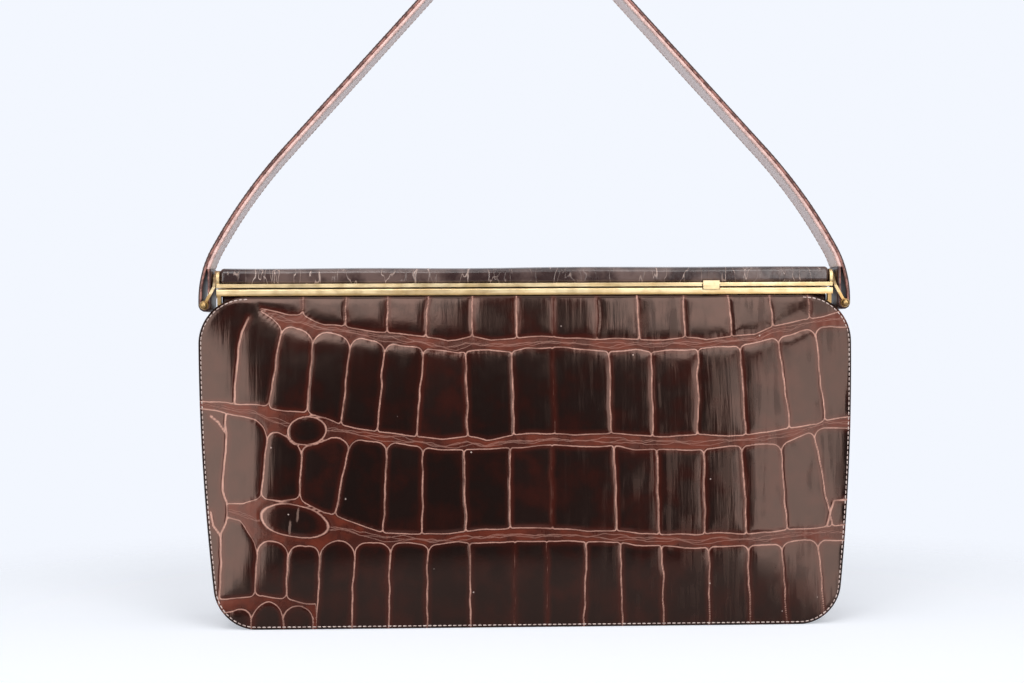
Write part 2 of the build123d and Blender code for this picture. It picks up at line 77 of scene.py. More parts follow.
# Scale layout in pixels of the photograph. Bands of small wrinkles lie between the rows of large scales.
PANEL_TOP_PX = 250.0
PANEL_BASE_PX = 670.0
BAND_EDGES_PX = (
    (
        ((0, 215), (246, 262), (257, 307), (288, 314), (302, 315), (325, 325), (349, 327), (387, 333),
         (420, 336), (448, 340), (472, 337), (492, 340), (518, 338), (542, 336), (565, 338), (639, 339),
         (665, 340), (684, 337), (706, 339), (731, 336), (754, 334), (772, 327), (801, 320), (823, 316),
         (850, 308)),
        ((0, 216), (249, 264), (260, 311), (275, 320), (297, 329), (330, 334), (368, 340), (405, 346),
         (432, 350), (458, 352), (489, 350), (510, 352), (527, 348), (565, 348), (608, 352), (637, 350),
         (651, 352), (680, 350), (728, 347), (755, 343), (772, 339), (801, 331), (831, 327), (856, 327)),
    ),
    (
        ((190, 401), (227, 402), (264, 406), (286, 411), (306, 412), (325, 418), (340, 425), (374, 431),
         (415, 436), (443, 439), (467, 436), (486, 440), (514, 435), (553, 433), (573, 435), (611, 433),
         (634, 435), (669, 437), (699, 434), (728, 436), (768, 432), (790, 427), (817, 424), (825, 420),
         (856, 416)),
        ((190, 408), (215, 411), (243, 417), (256, 420), (284, 436), (312, 446), (332, 438), (350, 438),
         (366, 441), (405, 444), (430, 449), (464, 450), (484, 449), (510, 448), (553, 445), (587, 447),
         (611, 446), (634, 449), (669, 450), (703, 450), (728, 447), (755, 445), (781, 445), (798, 437),
         (825, 428), (856, 428)),
    ),
    (
        ((190, 501), (227, 503), (243, 504), (262, 498), (282, 501), (299, 498), (306, 503), (325, 513),
         (335, 516), (360, 525), (383, 532), (420, 534), (451, 533), (466, 531), (510, 528), (552, 528),
         (588, 531), (617, 530), (640, 534), (684, 534), (731, 533), (769, 533), (787, 529), (816, 528),
         (856, 524)),
        ((190, 512), (227, 517), (240, 521), (257, 540), (273, 541), (305, 547), (338, 541), (372, 544),
         (410, 543), (429, 546), (458, 542), (481, 543), (550, 541), (585, 542), (619, 542), (634, 545),
         (659, 546), (684, 548), (722, 547), (757, 545), (781, 544), (805, 540), (856, 541)),
    ),
    (
        ((190, 598), (225, 599), (262, 596), (285, 599), (305, 603), (315, 604), (318, 668), (1024, 669)),
        ((190, 616), (232, 612), (250, 606), (268, 602), (285, 606), (300, 606), (314, 608), (316, 669),
         (1024, 670)),
    ),
)
# Grooves between the scales of each row: where they leave the upper line and where they meet the lower one
ROW_GROOVES_PX = (
    ((305, 302), (348, 345), (390, 387), (430, 426), (473, 472), (516, 517), (553, 554), (600, 597),
     (636, 639), (682, 685), (726, 732), (767, 773), (806, 810)),
    ((283, 268), (314, 307), (351, 341), (385, 377), (424, 416), (466, 468), (512, 514), (552, 555),
     (609, 611), (651, 653), (698, 698), (740, 746), (778, 790), (815, 825)),
    ((268, 261), (302, 299), (350, 335), (387, 383), (423, 422), (464, 466), (510, 510), (552, 553),
     (614, 617), (657, 659), (704, 705), (742, 747), (781, 787), (814, 832)),
    ((257, 255), (289, 286), (321, 316), (355, 350), (390, 388), (428, 426), (470, 471), (515, 514),
     (547, 547), (587, 582), (620, 624), (662, 665), (709, 710), (748, 752), (782, 790), (818, 829)),
    ((252, 250), (284, 283), (313, 314)),
)
FAINT_GROOVES_PX = (553, 600, 552, 515, 547)  # upper ends of the grooves that hardly show
# Forks and branches of grooves that belong to no row
STRAY_GROOVES_PX = (
    ((249, 318), (241, 333), (239, 350), (236, 376), (234, 404)),
    ((210, 416), (219, 422), (226, 435)),
    ((210, 512), (213, 526), (220, 535)),
    ((832, 501), (847, 499)),
    ((833, 503), (828, 519), (826, 528)),
)
LEFT_LINE_PX = ((226, 412), (226, 435), (224, 470), (222, 490), (226, 501), (227, 516), (226, 523),
                (221, 535), (220, 578), (219, 640))
# Odd oval scales near the left edge: middle, half axes and tilt in degrees
OVAL_SCALES_PX = (
    ((307, 431), (19, 14), 3),
    ((294, 521), (33, 16), -11),
)
# Corner radius of the scales at their upper and lower ends, by place across
CORNER_PLACES = (-0.139, -0.075, -0.045, -0.025, 0.055, 0.09, 0.115, 0.139)
UPPER_CORNERS = (0.0065, 0.0055, 0.0030, 0.0011, 0.0011, 0.0022, 0.0034, 0.0042)
LOWER_CORNERS = (0.0030, 0.0014, 0.0009, 0.0008, 0.0008, 0.0009, 0.0010, 0.0015)
FULL_BANDS = 3  # bands that run right across; the last one is a corner of small scales
FAINT_SHARE = -0.7  # of a groove's half width, where the groove hardly shows
WANDER_WAVES = (12, 0.007, 0.022)  # number, shortest and longest of the waves by which grooves stray
FAR = 0.02  # stands in for a groove that isn't there
ROW_NUMBERS = 32  # scale numbers kept for each row
STRIP_NUMBER = 200  # scale number of the strip at the left edge; the ovals' numbers follow it
SCALE_NUMBERS = 256  # more than the highest scale number
# Distances over which the relief changes
GROOVE_SLOPE = 0.0006
ROPE_START, ROPE_SLOPE = 0.0004, 0.0008
TILT_REACH = 0.0015
EDGE_FADE = 0.003
# Grids of the panels
FRONT_GRID = (0.00103, 0.0005)  # steps between rows and between columns
BACK_GRID = (0.0015, 0.0007)
CORNER_ROWS = 24
RIM_COLUMNS = (0, 0.15, 0.4, 0.8, 1.3)  # millimetres from the outline
BACK_RINGS = (1, 0.97, 0.7, 0.35, 0.02)  # shares of the outline
# Height of the bulge, as shares of the panel's height and of the whole bulge
BULGE_HEIGHTS = (0.0, 0.25, 0.55, 0.85, 1.0)
BULGE_SHARES = (0.12, 0.8, 1.0, 0.5, 0.08)
# Soft pieces
GUSSET_STEP = 0.0016
FOLD_SOFT = 0.012  # roundness of the gusset's fold
ARM_SHARPNESS = 6  # how suddenly the gusset's halves differ in the middle
POUCH_POWER = 1 / 7  # of the superellipse that the lining's section follows
POUCH_FLOOR = (0.05, 0.93)  # sizes of the two rings that close the lining's floor
POUCH_NARROW = 0.55  # share of the height over which the lining is as deep as the bag
PAD_POWER = 0.5  # of the superellipse that the top pad's section follows
PAD_WAVES = (0.021, 0.047)  # of the top pad's slight sag along the bar
STRAP_STEP = 0.0012
SNUG = 0.999  # keeps the two bends of a strap's loop just apart
# Name, place, width, height and radiance of each lamp
LAMPS = (
    ("over_light", (0.0, -0.3, 1.35), 1.2, 0.8, 2.0),
    ("front_left_light", (-0.32, -1.15, 1.0), 0.62, 0.5, 5.6),
    ("front_right_light", (0.46, -1.15, 0.95), 0.66, 0.5, 4.8),
    ("left_light", (-0.75, -1.0, 0.2), 0.6, 0.9, 4.0),
    ("right_light", (0.64, -1.15, 0.2), 0.7, 0.85, 3.5),
)
LAMP_AIM = (0, 0, 0.1)
ROOM = (0.16, 0.165, 0.175)  # dim room in front of the bag
FLOOR_GLOW = 0.45  # brings the floor up to the background for the camera alone
FLOOR_RINGS = (0.02, 0.25, 0.6, 1.0)  # shares of the floor's radius
FLOOR_SIDES = 64
SUEDE_DARK = (0.2, 0.13, 0.09)
STEEL_DARK = (0.2, 0.2, 0.2)


def linear(red, green, blue):
    """Linear colour of an sRGB colour given in 0 to 255: the usual power law with a straight toe."""
    share = np.array([red, green, blue]) / 255
    return tuple(np.where(share < 0.04045, share / 12.92, ((share + 0.055) / 1.055) ** 2.4))


def length(name, description, default):
    """A length that a user can change, in metres."""
    return FloatProperty(name=name, description=description, default=default, unit="LENGTH", precision=5)


def colour(name, description, *srgb):
    """A colour that a user can change, kept linear."""
    return FloatVectorProperty(name=name, description=description, default=linear(*srgb), subtype="COLOR",
                               min=0, max=1)


class BAG_PG_panel(bpy.types.PropertyGroup):
    """Sizes of the two leather panels."""

    height: length("Height", "Height of a panel up to the frame", 0.140)
    top_width: length("Top width", "Width where the sides would meet the top level", 0.2806)
    base_width: length("Base width", "Width where the sides would meet the floor", 0.261)
    side_bow: length("Side bow", "How far the sides stand out of straight lines", 0.0025)
    top_corner: length("Top corner", "Radius of the upper corners", 0.0202)
    base_corner: length("Base corner", "Radius of the lower corners", 0.016)
    base_depth: length("Base depth", "Depth of the bag at the floor", 0.050)
    mouth_depth: length("Mouth depth", "Depth of the bag under the frame", 0.020)
    bulge: length("Bulge", "How far the middle stands out from the edges", 0.006)
    margin: length("Margin", "Width of the part that curves away at each side", 0.045)
    thickness: length("Thickness", "Thickness of a panel at its edge", 0.0024)
    edge_roll: length("Edge roll", "Radius of the turned edge", 0.0011)


class BAG_PG_scales(bpy.types.PropertyGroup):
    """Relief of the alligator scales."""

    groove: length("Groove", "Half the width of a groove between two scales", 0.00018)
    depth: length("Depth", "Depth of the grooves", 0.00014)
    dome: length("Dome", "Height of a scale over its edge", 0.00014)
    dome_reach: length("Dome reach", "Distance from a scale's edge to its flat middle", 0.0055)
    rope: length("Rope", "Height of the wrinkled bands over the grooves", 0.00012)
    tilt: length("Tilt", "Most that a scale leans from one side to the other", 0.00022)
    wander: length("Wander", "How far the grooves stray from their smooth lines", 0.00016)
    stray: length("Stray groove", "Half the width of a groove outside the rows", 0.0003)
    moat: length("Moat", "Gap round an odd round scale", 0.0007)
    seed: IntProperty(name="Seed", description="Seed of all random values", default=7, min=0)


class BAG_PG_strap(bpy.types.PropertyGroup):
    """Sizes of the strap handle; heights are over the floor."""

    width: length("Width", "Width of the strap", 0.018)
    layer: length("Layer", "Thickness of one layer", 0.0015)
    edge_round: length("Edge round", "Rounding of a layer's edges", 0.000675)
    cut: length("Cut", "Reach of the cut edge's colour on to the faces", 0.0009)
    foot: length("Foot", "Distance of the strap's upright foot from the middle", 0.13965)
    loop: length("Loop", "Radius of the loop round the lug's bar", 0.002)
    bar_height: length("Bar height", "Height of the lug's bar", 0.1364)
    tab_top: length("Tab top", "Height of the end that is turned back inside", 0.152)
    shoulder: length("Shoulder", "Height where the strap starts to lean in", 0.1507)
    elbow_inset: length("Elbow inset", "From the foot towards the middle", 0.0194)
    elbow: length("Elbow", "Height of the bend between the shoulder and the peak", 0.1849)
    peak: length("Peak", "Height where the two straight runs would meet", 0.317175)
    shoulder_radius: length("Shoulder radius", "Bend at the shoulder", 0.046)
    elbow_radius: length("Elbow radius", "Bend at the elbow", 0.225)
    peak_radius: length("Peak radius", "Bend at the top", 0.046)


class BAG_PG_stitch(bpy.types.PropertyGroup):
    """Sizes of the stitching."""

    pitch: length("Pitch", "Distance from one stitch to the next", 0.0021)
    long: length("Length", "Length of a stitch that shows", 0.0016)
    wide: length("Width", "Thickness of the thread", 0.00055)
    inset: length("Inset", "Distance of the panels' seam from the edge", 0.0012)
    strap_inset: length("Strap inset", "Distance of the strap's seams from its edges", 0.00156)


class BAG_PG_gusset(bpy.types.PropertyGroup):
    """Sizes of the folding gusset; heights are over the floor."""

    inset: length("Inset", "From the panels' outline to the gusset", 0.0012)
    sheet: length("Sheet", "Thickness of the leather", 0.0014)
    rise: length("Rise", "Height of the upper ends over the panels", 0.0002)
    fold: length("Fold", "Depth of the fold at the frame", 0.0245)
    fold_start: length("Fold start", "Height where the fold starts", 0.018)
    fold_rise: length("Fold rise", "Height over which the fold deepens", 0.110)
    draw_start: length("Draw start", "Height where the sides draw in", 0.104)
    draw_rise: length("Draw rise", "Height over which the sides draw in", 0.016)
    arm: length("Arm", "Half width inside the frame's arms", 0.12965)
    arm_step: length("Arm step", "How much wider the front half is, and narrower the back half", 0.00095)
    mouth: length("Mouth", "Half depth at the upper ends", 0.005)
    mouth_start: length("Mouth start", "Height where the depth narrows", 0.126)
    mouth_rise: length("Mouth rise", "Height over which the depth narrows", 0.013)


class BAG_PG_lining(bpy.types.PropertyGroup):
    """Sizes of the suede pouch and of the top bar's pad."""

    sheet: length("Sheet", "Thickness of the suede", 0.0008)
    base_half: length("Base half", "Half width at the floor", 0.120)
    top_half: length("Top half", "Half width at the frame", 0.104)
    gap: length("Gap", "From the panels to the pouch", 0.0007)
    mouth: length("Mouth", "Half depth at the frame", 0.0052)
    pad_end: length("Pad end", "Rounding of the top pad's ends", 0.0016)
    pad_sag: length("Pad sag", "Unevenness of the top pad's crown", 0.0003)


class BAG_PG_colours(bpy.types.PropertyGroup):
    """Colours of leather, thread and metal."""

    scale: colour("Scale", "Middle of a scale", 19, 9, 8)
    scale_red: colour("Scale edge", "Redder edge of a scale", 54, 17, 11)
    band: colour("Band", "Wrinkled band between two rows", 88, 29, 14)
    line: colour("Line", "Pale line along a groove", 186, 142, 128)
    gusset: colour("Gusset", "Side gusset", 58, 33, 28)
    lining: colour("Lining", "Suede inside the bag", 165, 128, 100)
    pad: colour("Bar pad", "Leather strip of the top bar", 96, 76, 71)
    crack: colour("Crack", "Pale cracks in the top strip", 190, 164, 152)
    strap: colour("Strap", "Outside of the strap", 46, 26, 24)
    strap_cut: colour("Strap cut", "Cut edge of the strap's outer layer", 164, 114, 104)
    strap_edge: colour("Strap edge", "Cut edge of the strap's lining", 226, 188, 180)
    strap_lining: colour("Strap lining", "Inside of the strap", 250, 232, 230)
    thread: colour("Thread", "Stitching", 214, 194, 186)
    brass: colour("Brass", "Clean brass", 248, 226, 182)
    brass_dull: colour("Dull brass", "Brass with a patina", 220, 194, 148)
    # Brown for the patina streaks on the brass and for the painted shade below the front rail's upper edge.
    tarnish_and_shade: colour("Tarnish", "Brown tarnish low on the brass", 168, 132, 80)
    steel: colour("Steel", "Spring steel", 160, 160, 162)


class BAG_PG_stage(bpy.types.PropertyGroup):
    """Camera, floor and light."""

    lens: FloatProperty(name="Lens", description="Focal length in millimetres", default=62.0, min=10)
    camera_x: length("Camera across", "Place of the camera across the bag", -0.0322)
    camera_distance: length("Camera distance", "Distance of the camera in front of the bag's middle", 0.7668)
    camera_height: length("Camera height", "Height of the camera over the floor", 0.1203)
    yaw: FloatProperty(name="Yaw", description="Turn of the camera to the right", default=radians(1.96),
                       subtype="ANGLE", unit="ROTATION")
    roll: FloatProperty(name="Roll", description="Turn of the camera about its view", default=radians(0.293),
                        subtype="ANGLE", unit="ROTATION")
    floor_radius: length("Floor radius", "Radius of the floor that shows", 0.42)
    floor: colour("Floor", "Pale floor", 212, 214, 218)
    background: colour("Background", "White behind the bag", 243, 247, 255)


def settings(name):
    """Property group of that name in the current scene."""
    return getattr(bpy.context.scene, "bag_" + name)


# Meshes


def grid_faces(index):
    """Quads of a grid of vertex numbers, wound so that columns cross rows points out."""
    corners = (index[:-1, :-1], index[:-1, 1:], index[1:, 1:], index[1:, :-1])
    return np.stack(corners, axis=-1).reshape(-1, 4)


def zip_faces(loop):
    """Quads that close a loop of an even number of vertices, laced from its first pair to its last."""
    half = len(loop) // 2
    there, back = loop[:half], loop[::-1][:half]
    return np.stack((there[:-1], there[1:], back[1:], back[:-1]), axis=-1)


def ring(index):
    """Grid of vertex numbers closed round its columns."""
    return np.concatenate((index, index[:, :1]), axis=1)


def numbers(points):
    """Vertex numbers of a grid of points."""
    return np.arange(points[..., 0].size).reshape(points.shape[:2])


def tube_faces(index):
    """Quads of a tube: a grid closed round its columns, with its first and last rows laced up."""
    return np.concatenate((grid_faces(ring(index)), zip_faces(index[0])[:, ::-1], zip_faces(index[-1])))


def unit(vectors):
    """Vectors scaled to length one."""
    return vectors / np.linalg.norm(vectors, axis=1, keepdims=True)


def upright(flat, depth=0.0):
    """Points or directions (across, height) in space, at a depth along Y."""
    return np.stack((flat[:, 0], np.broadcast_to(depth, len(flat)), flat[:, 1]), axis=-1)


def piece(name, points, faces, material, **attributes):
    """Smooth mesh object at the origin from points and quads, with one float attribute per keyword."""
    points = np.ascontiguousarray(points.reshape(-1, 3), dtype=np.float32)
    faces = np.ascontiguousarray(faces.reshape(-1, 4), dtype=np.int32)
    mesh = bpy.data.meshes.new(name)
    mesh.vertices.add(len(points))
    mesh.vertices.foreach_set("co", points.ravel())
    mesh.loops.add(faces.size)
    mesh.loops.foreach_set("vertex_index", faces.ravel())
    mesh.polygons.add(len(faces))
    mesh.polygons.foreach_set("loop_start", np.arange(0, faces.size, 4, dtype=np.int32))
    mesh.polygons.foreach_set("use_smooth", np.ones(len(faces), dtype=bool))
    for key, values in attributes.items():
        layer = mesh.attributes.new(key, "FLOAT", "POINT")
        layer.data.foreach_set("value", np.ascontiguousarray(values.ravel(), dtype=np.float32))
    mesh.update(calc_edges=True)
    if mesh.validate():
        raise ValueError(name + " has faulty faces")
    mesh.materials.append(material)
    made = bpy.data.objects.new(name, mesh)
    bpy.context.scene.collection.objects.link(made)
    return made


def smooth(value):
    """Smooth step from 0 to 1 as the value goes from 0 to 1."""
    share = np.clip(value, 0, 1)
    return share * share * (3 - 2 * share)


def soft_min(first, second, radius):
    """Lesser of two distances, with the corner between them rounded to a radius."""
    rounded = radius - np.hypot(np.maximum(radius - first, 0), np.maximum(radius - second, 0))
    return np.where(np.minimum(first, second) > radius, np.minimum(first, second), rounded)


def waves(across, up, random, count, shortest, longest):
    """Smooth noise of about unit size: a sum of sine waves with random directions, lengths and phases."""
    turn = random.uniform(0, 2 * pi, count)
    wave = 2 * pi / random.uniform(shortest, longest, count)
    phase = random.uniform(0, 2 * pi, count)
    place = across[..., None] * np.cos(turn) + up[..., None] * np.sin(turn)
    return np.sin(place * wave + phase).sum(axis=-1) * (2 / count) ** 0.5


# Panel surface


def edge_depth(height):
    """Half depth of the bag at the panels' edges: a straight taper from the floor to the frame."""
    p = settings("panel")
    return p.base_depth / 2 + (p.mouth_depth - p.base_depth) / 2 * height / p.height


def edge_place(height):
    """Half width of a panel between its corners: a flare from the floor to the top, bowed as a parabola."""
    p = settings("panel")
    share = height / p.height
    return p.base_width / 2 + (p.top_width - p.base_width) / 2 * share + 4 * p.side_bow * share * (1 - share)


def half_outline(height, inset):
    """Half width of a panel's outline with its rounded corners, drawn in by an inset."""
    p = settings("panel")
    low, high = p.base_corner - inset, p.top_corner - inset
    base = np.clip((height - inset) / low, 0, 1)
    top = np.clip((p.height - inset - height) / high, 0, 1)
    return edge_place(height) - inset - low * (1 - np.sqrt(1 - (1 - base) ** 2)) \
        - high * (1 - np.sqrt(1 - (1 - top) ** 2))


def edge_distance(across, height):
    """Distance inside a panel's outline, which is a bowed, flared rectangle with rounded corners."""
    p = settings("panel")
    upper = height > p.height / 2
    radius = np.where(upper, p.top_corner, p.base_corner)
    end = np.where(upper, p.height - height, height)
    return soft_min(edge_place(height) - np.abs(across), end, radius)


def front_depth(across, height):
    """Distance of the smooth front in front of the middle plane: the edge's depth and a bulge.

    The bulge is a quartic through five shares of the height, and falls off as a parabola in the side margins.
    """
    p = settings("panel")
    up = np.polyval(np.polyfit(BULGE_HEIGHTS, BULGE_SHARES, len(BULGE_SHARES) - 1), height / p.height)
    margin = np.clip((edge_place(height) - np.abs(across)) / p.margin, 0, 1)
    return edge_depth(height) + p.bulge * up * (1 - (1 - margin) ** 2)


def cast(pixels):
    """Places (across, height) on the front panel that the camera sees at pixels of the photograph."""
    stage = settings("stage")
    pixels = np.asarray(pixels, dtype=float)
    focal = stage.lens / SENSOR_WIDTH * PHOTO_WIDTH
    right = (pixels[..., 0] - PHOTO_MIDDLE[0]) / focal
    up = (PHOTO_MIDDLE[1] - pixels[..., 1]) / focal
    across_view = right * np.cos(stage.roll) + up * np.sin(stage.roll)
    up_view = up * np.cos(stage.roll) - right * np.sin(stage.roll)
    ahead = np.cos(stage.yaw) - across_view * np.sin(stage.yaw)
    sideways = np.sin(stage.yaw) + across_view * np.cos(stage.yaw)
    depth = np.full(right.shape, settings("panel").mouth_depth)
    for _ in range(6):
        reach = (stage.camera_distance - depth) / ahead
        across = stage.camera_x + reach * sideways
        height = stage.camera_height + reach * up_view
        depth = front_depth(across, np.clip(height, 0, settings("panel").height))
    return across, height


def row_lines():
    """For each row of scales, its upper and lower lines and its grooves, as pixel arrays."""
    outer = [np.array(((0, level), (PHOTO_WIDTH, level))) for level in (PANEL_TOP_PX, PANEL_BASE_PX)]
    lines = outer[:1] + [np.array(edge) for band in BAND_EDGES_PX for edge in band] + outer[1:]
    return [(lines[2 * row], lines[2 * row + 1], np.array(grooves, dtype=float))
            for row, grooves in enumerate(ROW_GROOVES_PX)]


def line_distance(x, z, line):
    """Least distance from points to the segments of a polyline."""
    best = np.full(x.shape, np.inf)
    for start, end in zip(line, line[1:]):
        run = end - start
        share = np.clip(((x - start[0]) * run[0] + (z - start[1]) * run[1]) / (run @ run), 0, 1)
        best = np.minimum(best, np.hypot(x - start[0] - share * run[0], z - start[1] - share * run[1]))
    return best


def scale_field(across, height):
    """Signed distance to a scale's edge, the scale's number, the share across it, height over the next band.

    In each row a scale's distance is the rounded least of the distances to its two grooves and to the row's
    two lines, and the greatest over the rows is kept. A strip at the left edge has no bands, stray grooves
    are cut through what is there, and the odd oval scales cut a moat round themselves.
    """
    s = settings("scales")
    random = np.random.default_rng(s.seed)
    shift = [s.wander * waves(across, height, random, *WANDER_WAVES) for _ in range(2)]
    x, z = across + shift[0], height + shift[1]
    best = np.full(x.shape, -1.0)
    number = np.zeros(x.shape, dtype=int)
    share = np.zeros(x.shape)
    upper_corner = np.interp(x, CORNER_PLACES, UPPER_CORNERS)
    lower_corner = np.interp(x, CORNER_PLACES, LOWER_CORNERS)
    for row, (upper, lower, grooves) in enumerate(row_lines()):
        start = np.stack((grooves[:, 0], np.interp(grooves[:, 0], *upper.T)), axis=-1)
        end = np.stack((grooves[:, 1], np.interp(grooves[:, 1], *lower.T)), axis=-1)
        (start_x, start_z), (end_x, end_z) = cast(start), cast(end)
        slope = (end_x - start_x) / (end_z - start_z)
        away = x[..., None] - (start_x + (z[..., None] - start_z) * slope)
        bold = np.where(np.isin(grooves[:, 0], FAINT_GROOVES_PX), FAINT_SHARE, 1.0)
        side = (np.abs(away) - s.groove * bold).min(axis=-1)
        to_left = np.where(away > 0, away, FAR).min(axis=-1)
        to_right = np.where(away < 0, -away, FAR).min(axis=-1)
        over, under = [np.interp(x, *cast(line)) for line in (upper, lower)]
        inside = soft_min(soft_min(side, over - z, upper_corner), z - under, lower_corner)
        number = np.where(inside > best, ROW_NUMBERS * row + (away > 0).sum(axis=-1), number)
        share = np.where(inside > best, (to_left - to_right) / (to_left + to_right), share)
        best = np.maximum(best, inside)
    line_x, line_z = cast(LEFT_LINE_PX)
    beside = np.interp(-z, -line_z, line_x) - x
    below = np.interp(x, *cast(BAND_EDGES_PX[1][1])) - z
    strip = np.minimum(beside, below) - s.groove
    number = np.where(strip > best, STRIP_NUMBER, number)
    best = np.maximum(best, strip)
    for line in (*STRAY_GROOVES_PX, LEFT_LINE_PX):
        best = np.minimum(best, line_distance(x, z, np.stack(cast(line), axis=-1)) - s.stray)
    for spot, (middle, half, tilt) in enumerate(OVAL_SCALES_PX):
        middle_x, middle_z = cast(middle)
        scale = np.ptp(cast(np.array(middle) + np.array(((-0.5, 0), (0.5, 0))))[0])
        turn = radians(tilt)
        along = (x - middle_x) * np.cos(turn) + (z - middle_z) * np.sin(turn)
        athwart = (z - middle_z) * np.cos(turn) - (x - middle_x) * np.sin(turn)
        oval = (1 - np.hypot(along / half[0], athwart / half[1]) / scale) * min(half) * scale
        number = np.where(oval > 0, STRIP_NUMBER + 1 + spot, number)
        best = np.maximum(np.minimum(best, -oval - s.moat), oval)
    from_band = np.stack([z - (np.interp(x, *cast(upper)) + np.interp(x, *cast(lower))) / 2
                          for upper, lower in BAND_EDGES_PX[:FULL_BANDS]])
    nearest = np.abs(from_band).argmin(axis=0)
    return best, number, share, np.take_along_axis(from_band, nearest[None], axis=0)[0]


def scale_relief(field, number, share):
    """Height of the relief: domed, slightly tilted scales, grooves, and raised bands."""
    s = settings("scales")
    random = np.random.default_rng(s.seed + 1)
    lean = random.uniform(-1, 1, SCALE_NUMBERS)[number]
    dome = s.dome * (1 - (1 - np.clip(field / s.dome_reach, 0, 1)) ** 2)
    groove = s.depth * smooth(0.5 - field / GROOVE_SLOPE)
    rope = s.rope * smooth((-field - ROPE_START) / ROPE_SLOPE)
    return dome - groove + rope + s.tilt / 2 * lean * share * smooth(field / TILT_REACH)


def hide_rows(fine):
    """Heights of the grid's rows: spaced as arcs in the corners, even between them."""
    p = settings("panel")
    turn = np.linspace(0, pi / 2, CORNER_ROWS)
    base = p.base_corner * (1 - np.cos(turn))
    top = p.height - p.top_corner * (1 - np.cos(turn))[::-1]
    middle = np.arange(base[-1] + fine, top[0] - fine / 2, fine)
    return np.concatenate((base, middle, top))


def hide_grid(row_step, column_step):
    """Places of a panel's grid: each row spans the outline at its height, with close columns at the rim."""
    p = settings("panel")
    height = hide_rows(row_step)
    half = half_outline(height, 0)
    rim = np.array(RIM_COLUMNS) * MM
    inner = np.linspace(-1, 1, int(p.top_width / column_step))
    left = -half[:, None] + rim[:-1]
    across = np.concatenate((left, inner * (half[:, None] - rim[-1]), -left[:, ::-1]), axis=1)
    return across, np.broadcast_to(height[:, None], across.shape)


def hide(name, side, material, row_step, column_step):
    """Closed panel: a front with relief and a turned edge, and a plain back laced up in its middle.

    The front's points are the smooth front, less the turned edge's quarter circle, plus the relief. The back
    is the outline drawn in to a small loop and laced up.
    """
    p = settings("panel")
    across, height = hide_grid(row_step, column_step)
    rim = np.clip(edge_distance(across, height), 0, None)
    field, number, share, from_band = scale_field(-side * across, height)
    relief = scale_relief(field, number, share) * smooth(rim / EDGE_FADE)
    turn = np.clip(1 - rim / p.edge_roll, 0, 1)
    drop = p.edge_roll * (1 - np.sqrt(1 - turn ** 2))
    front = np.stack((across, -(front_depth(across, height) - drop + relief), height), axis=-1)
    index = np.arange(across.size).reshape(across.shape)
    loop = np.concatenate((index[0], index[1:-1, -1], index[-1, ::-1], index[-2:0:-1, 0]))
    outline = front.reshape(-1, 3)[loop]
    middle = np.array((0, 0, p.height / 2))
    shares = np.array(BACK_RINGS)
    back = middle + shares[:, None, None] * (outline - middle)
    back[..., 1] = -(front_depth(back[..., 0], back[..., 2]) - p.thickness)
    back_index = across.size + np.arange(back[..., 0].size).reshape(len(shares), -1)
    rings = ring(np.concatenate((loop[None], back_index)))
    faces = np.concatenate((grid_faces(index), grid_faces(rings)[:, ::-1],
                            zip_faces(back_index[-1])[:, ::-1]))
    points = np.concatenate((front.reshape(-1, 3), back.reshape(-1, 3)))
    random = np.random.default_rng(settings("scales").seed + 2).uniform(0, 1, SCALE_NUMBERS)
    extra = np.zeros(back[..., 0].size)
    if side > 0:
        points = points * (1, -1, 1)
        faces = faces[:, ::-1]
    return piece(name, points, faces, material,
                 scale_edge=np.concatenate((field.ravel() / MM, extra - 1)),
                 scale_random=np.concatenate((random[number].ravel(), extra)),
                 band_place=np.concatenate((from_band.ravel() / MM, extra)))


def bend_with_frame(made):
    """Bake the piece's transform into its mesh; nothing makes it follow the front jaw."""
    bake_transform(made)


def build_hides():
    """Front and back panels in alligator hide."""
    material = hide_material()
    front = hide("front_hide", -1, material, *FRONT_GRID)
    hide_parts("front_panel")
    bend_with_frame(front)
    back = hide("back_hide", 1, material, *BACK_GRID)
    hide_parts("back_panel")
    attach(back, "bag")


# Stitching


def stitch_mesh(places, along, out, size):
    """Points and faces of one small capsule per stitch.

    A capsule is six points round and five along; its radius falls to a fifth at both ends, which are laced.
    """
    share = np.array((-1, -0.75, 0, 0.75, 1))
    girth = np.array((0.2, 0.8, 1, 0.8, 0.2))
    turn = np.arange(6) * pi / 3
    side = np.cross(along, out)
    axis = (share * size.long / 2)[None, :, None, None] * along[:, None, None, :]
    round_side = (girth[:, None] * np.cos(turn) * size.wide / 2)[None, :, :, None] * side[:, None, None, :]
    round_out = (girth[:, None] * np.sin(turn) * size.wide / 2)[None, :, :, None] * out[:, None, None, :]
    points = places[:, None, None, :] + axis + round_side + round_out
    capsule = tube_faces(numbers(points[0]))[:, ::-1]
    faces = capsule[None] + share.size * turn.size * np.arange(len(places))[:, None, None]
    return points.reshape(-1, 3), faces.reshape(-1, 4)


def resample(line, step):
    """Points spaced evenly along a polyline."""
    run = np.concatenate(([0], np.cumsum(np.linalg.norm(np.diff(line, axis=0), axis=1))))
    there = np.linspace(0, run[-1], max(int(round(run[-1] / step)), 2) + 1)
    return np.stack([np.interp(there, run, line[:, axis]) for axis in range(line.shape[1])], axis=-1)


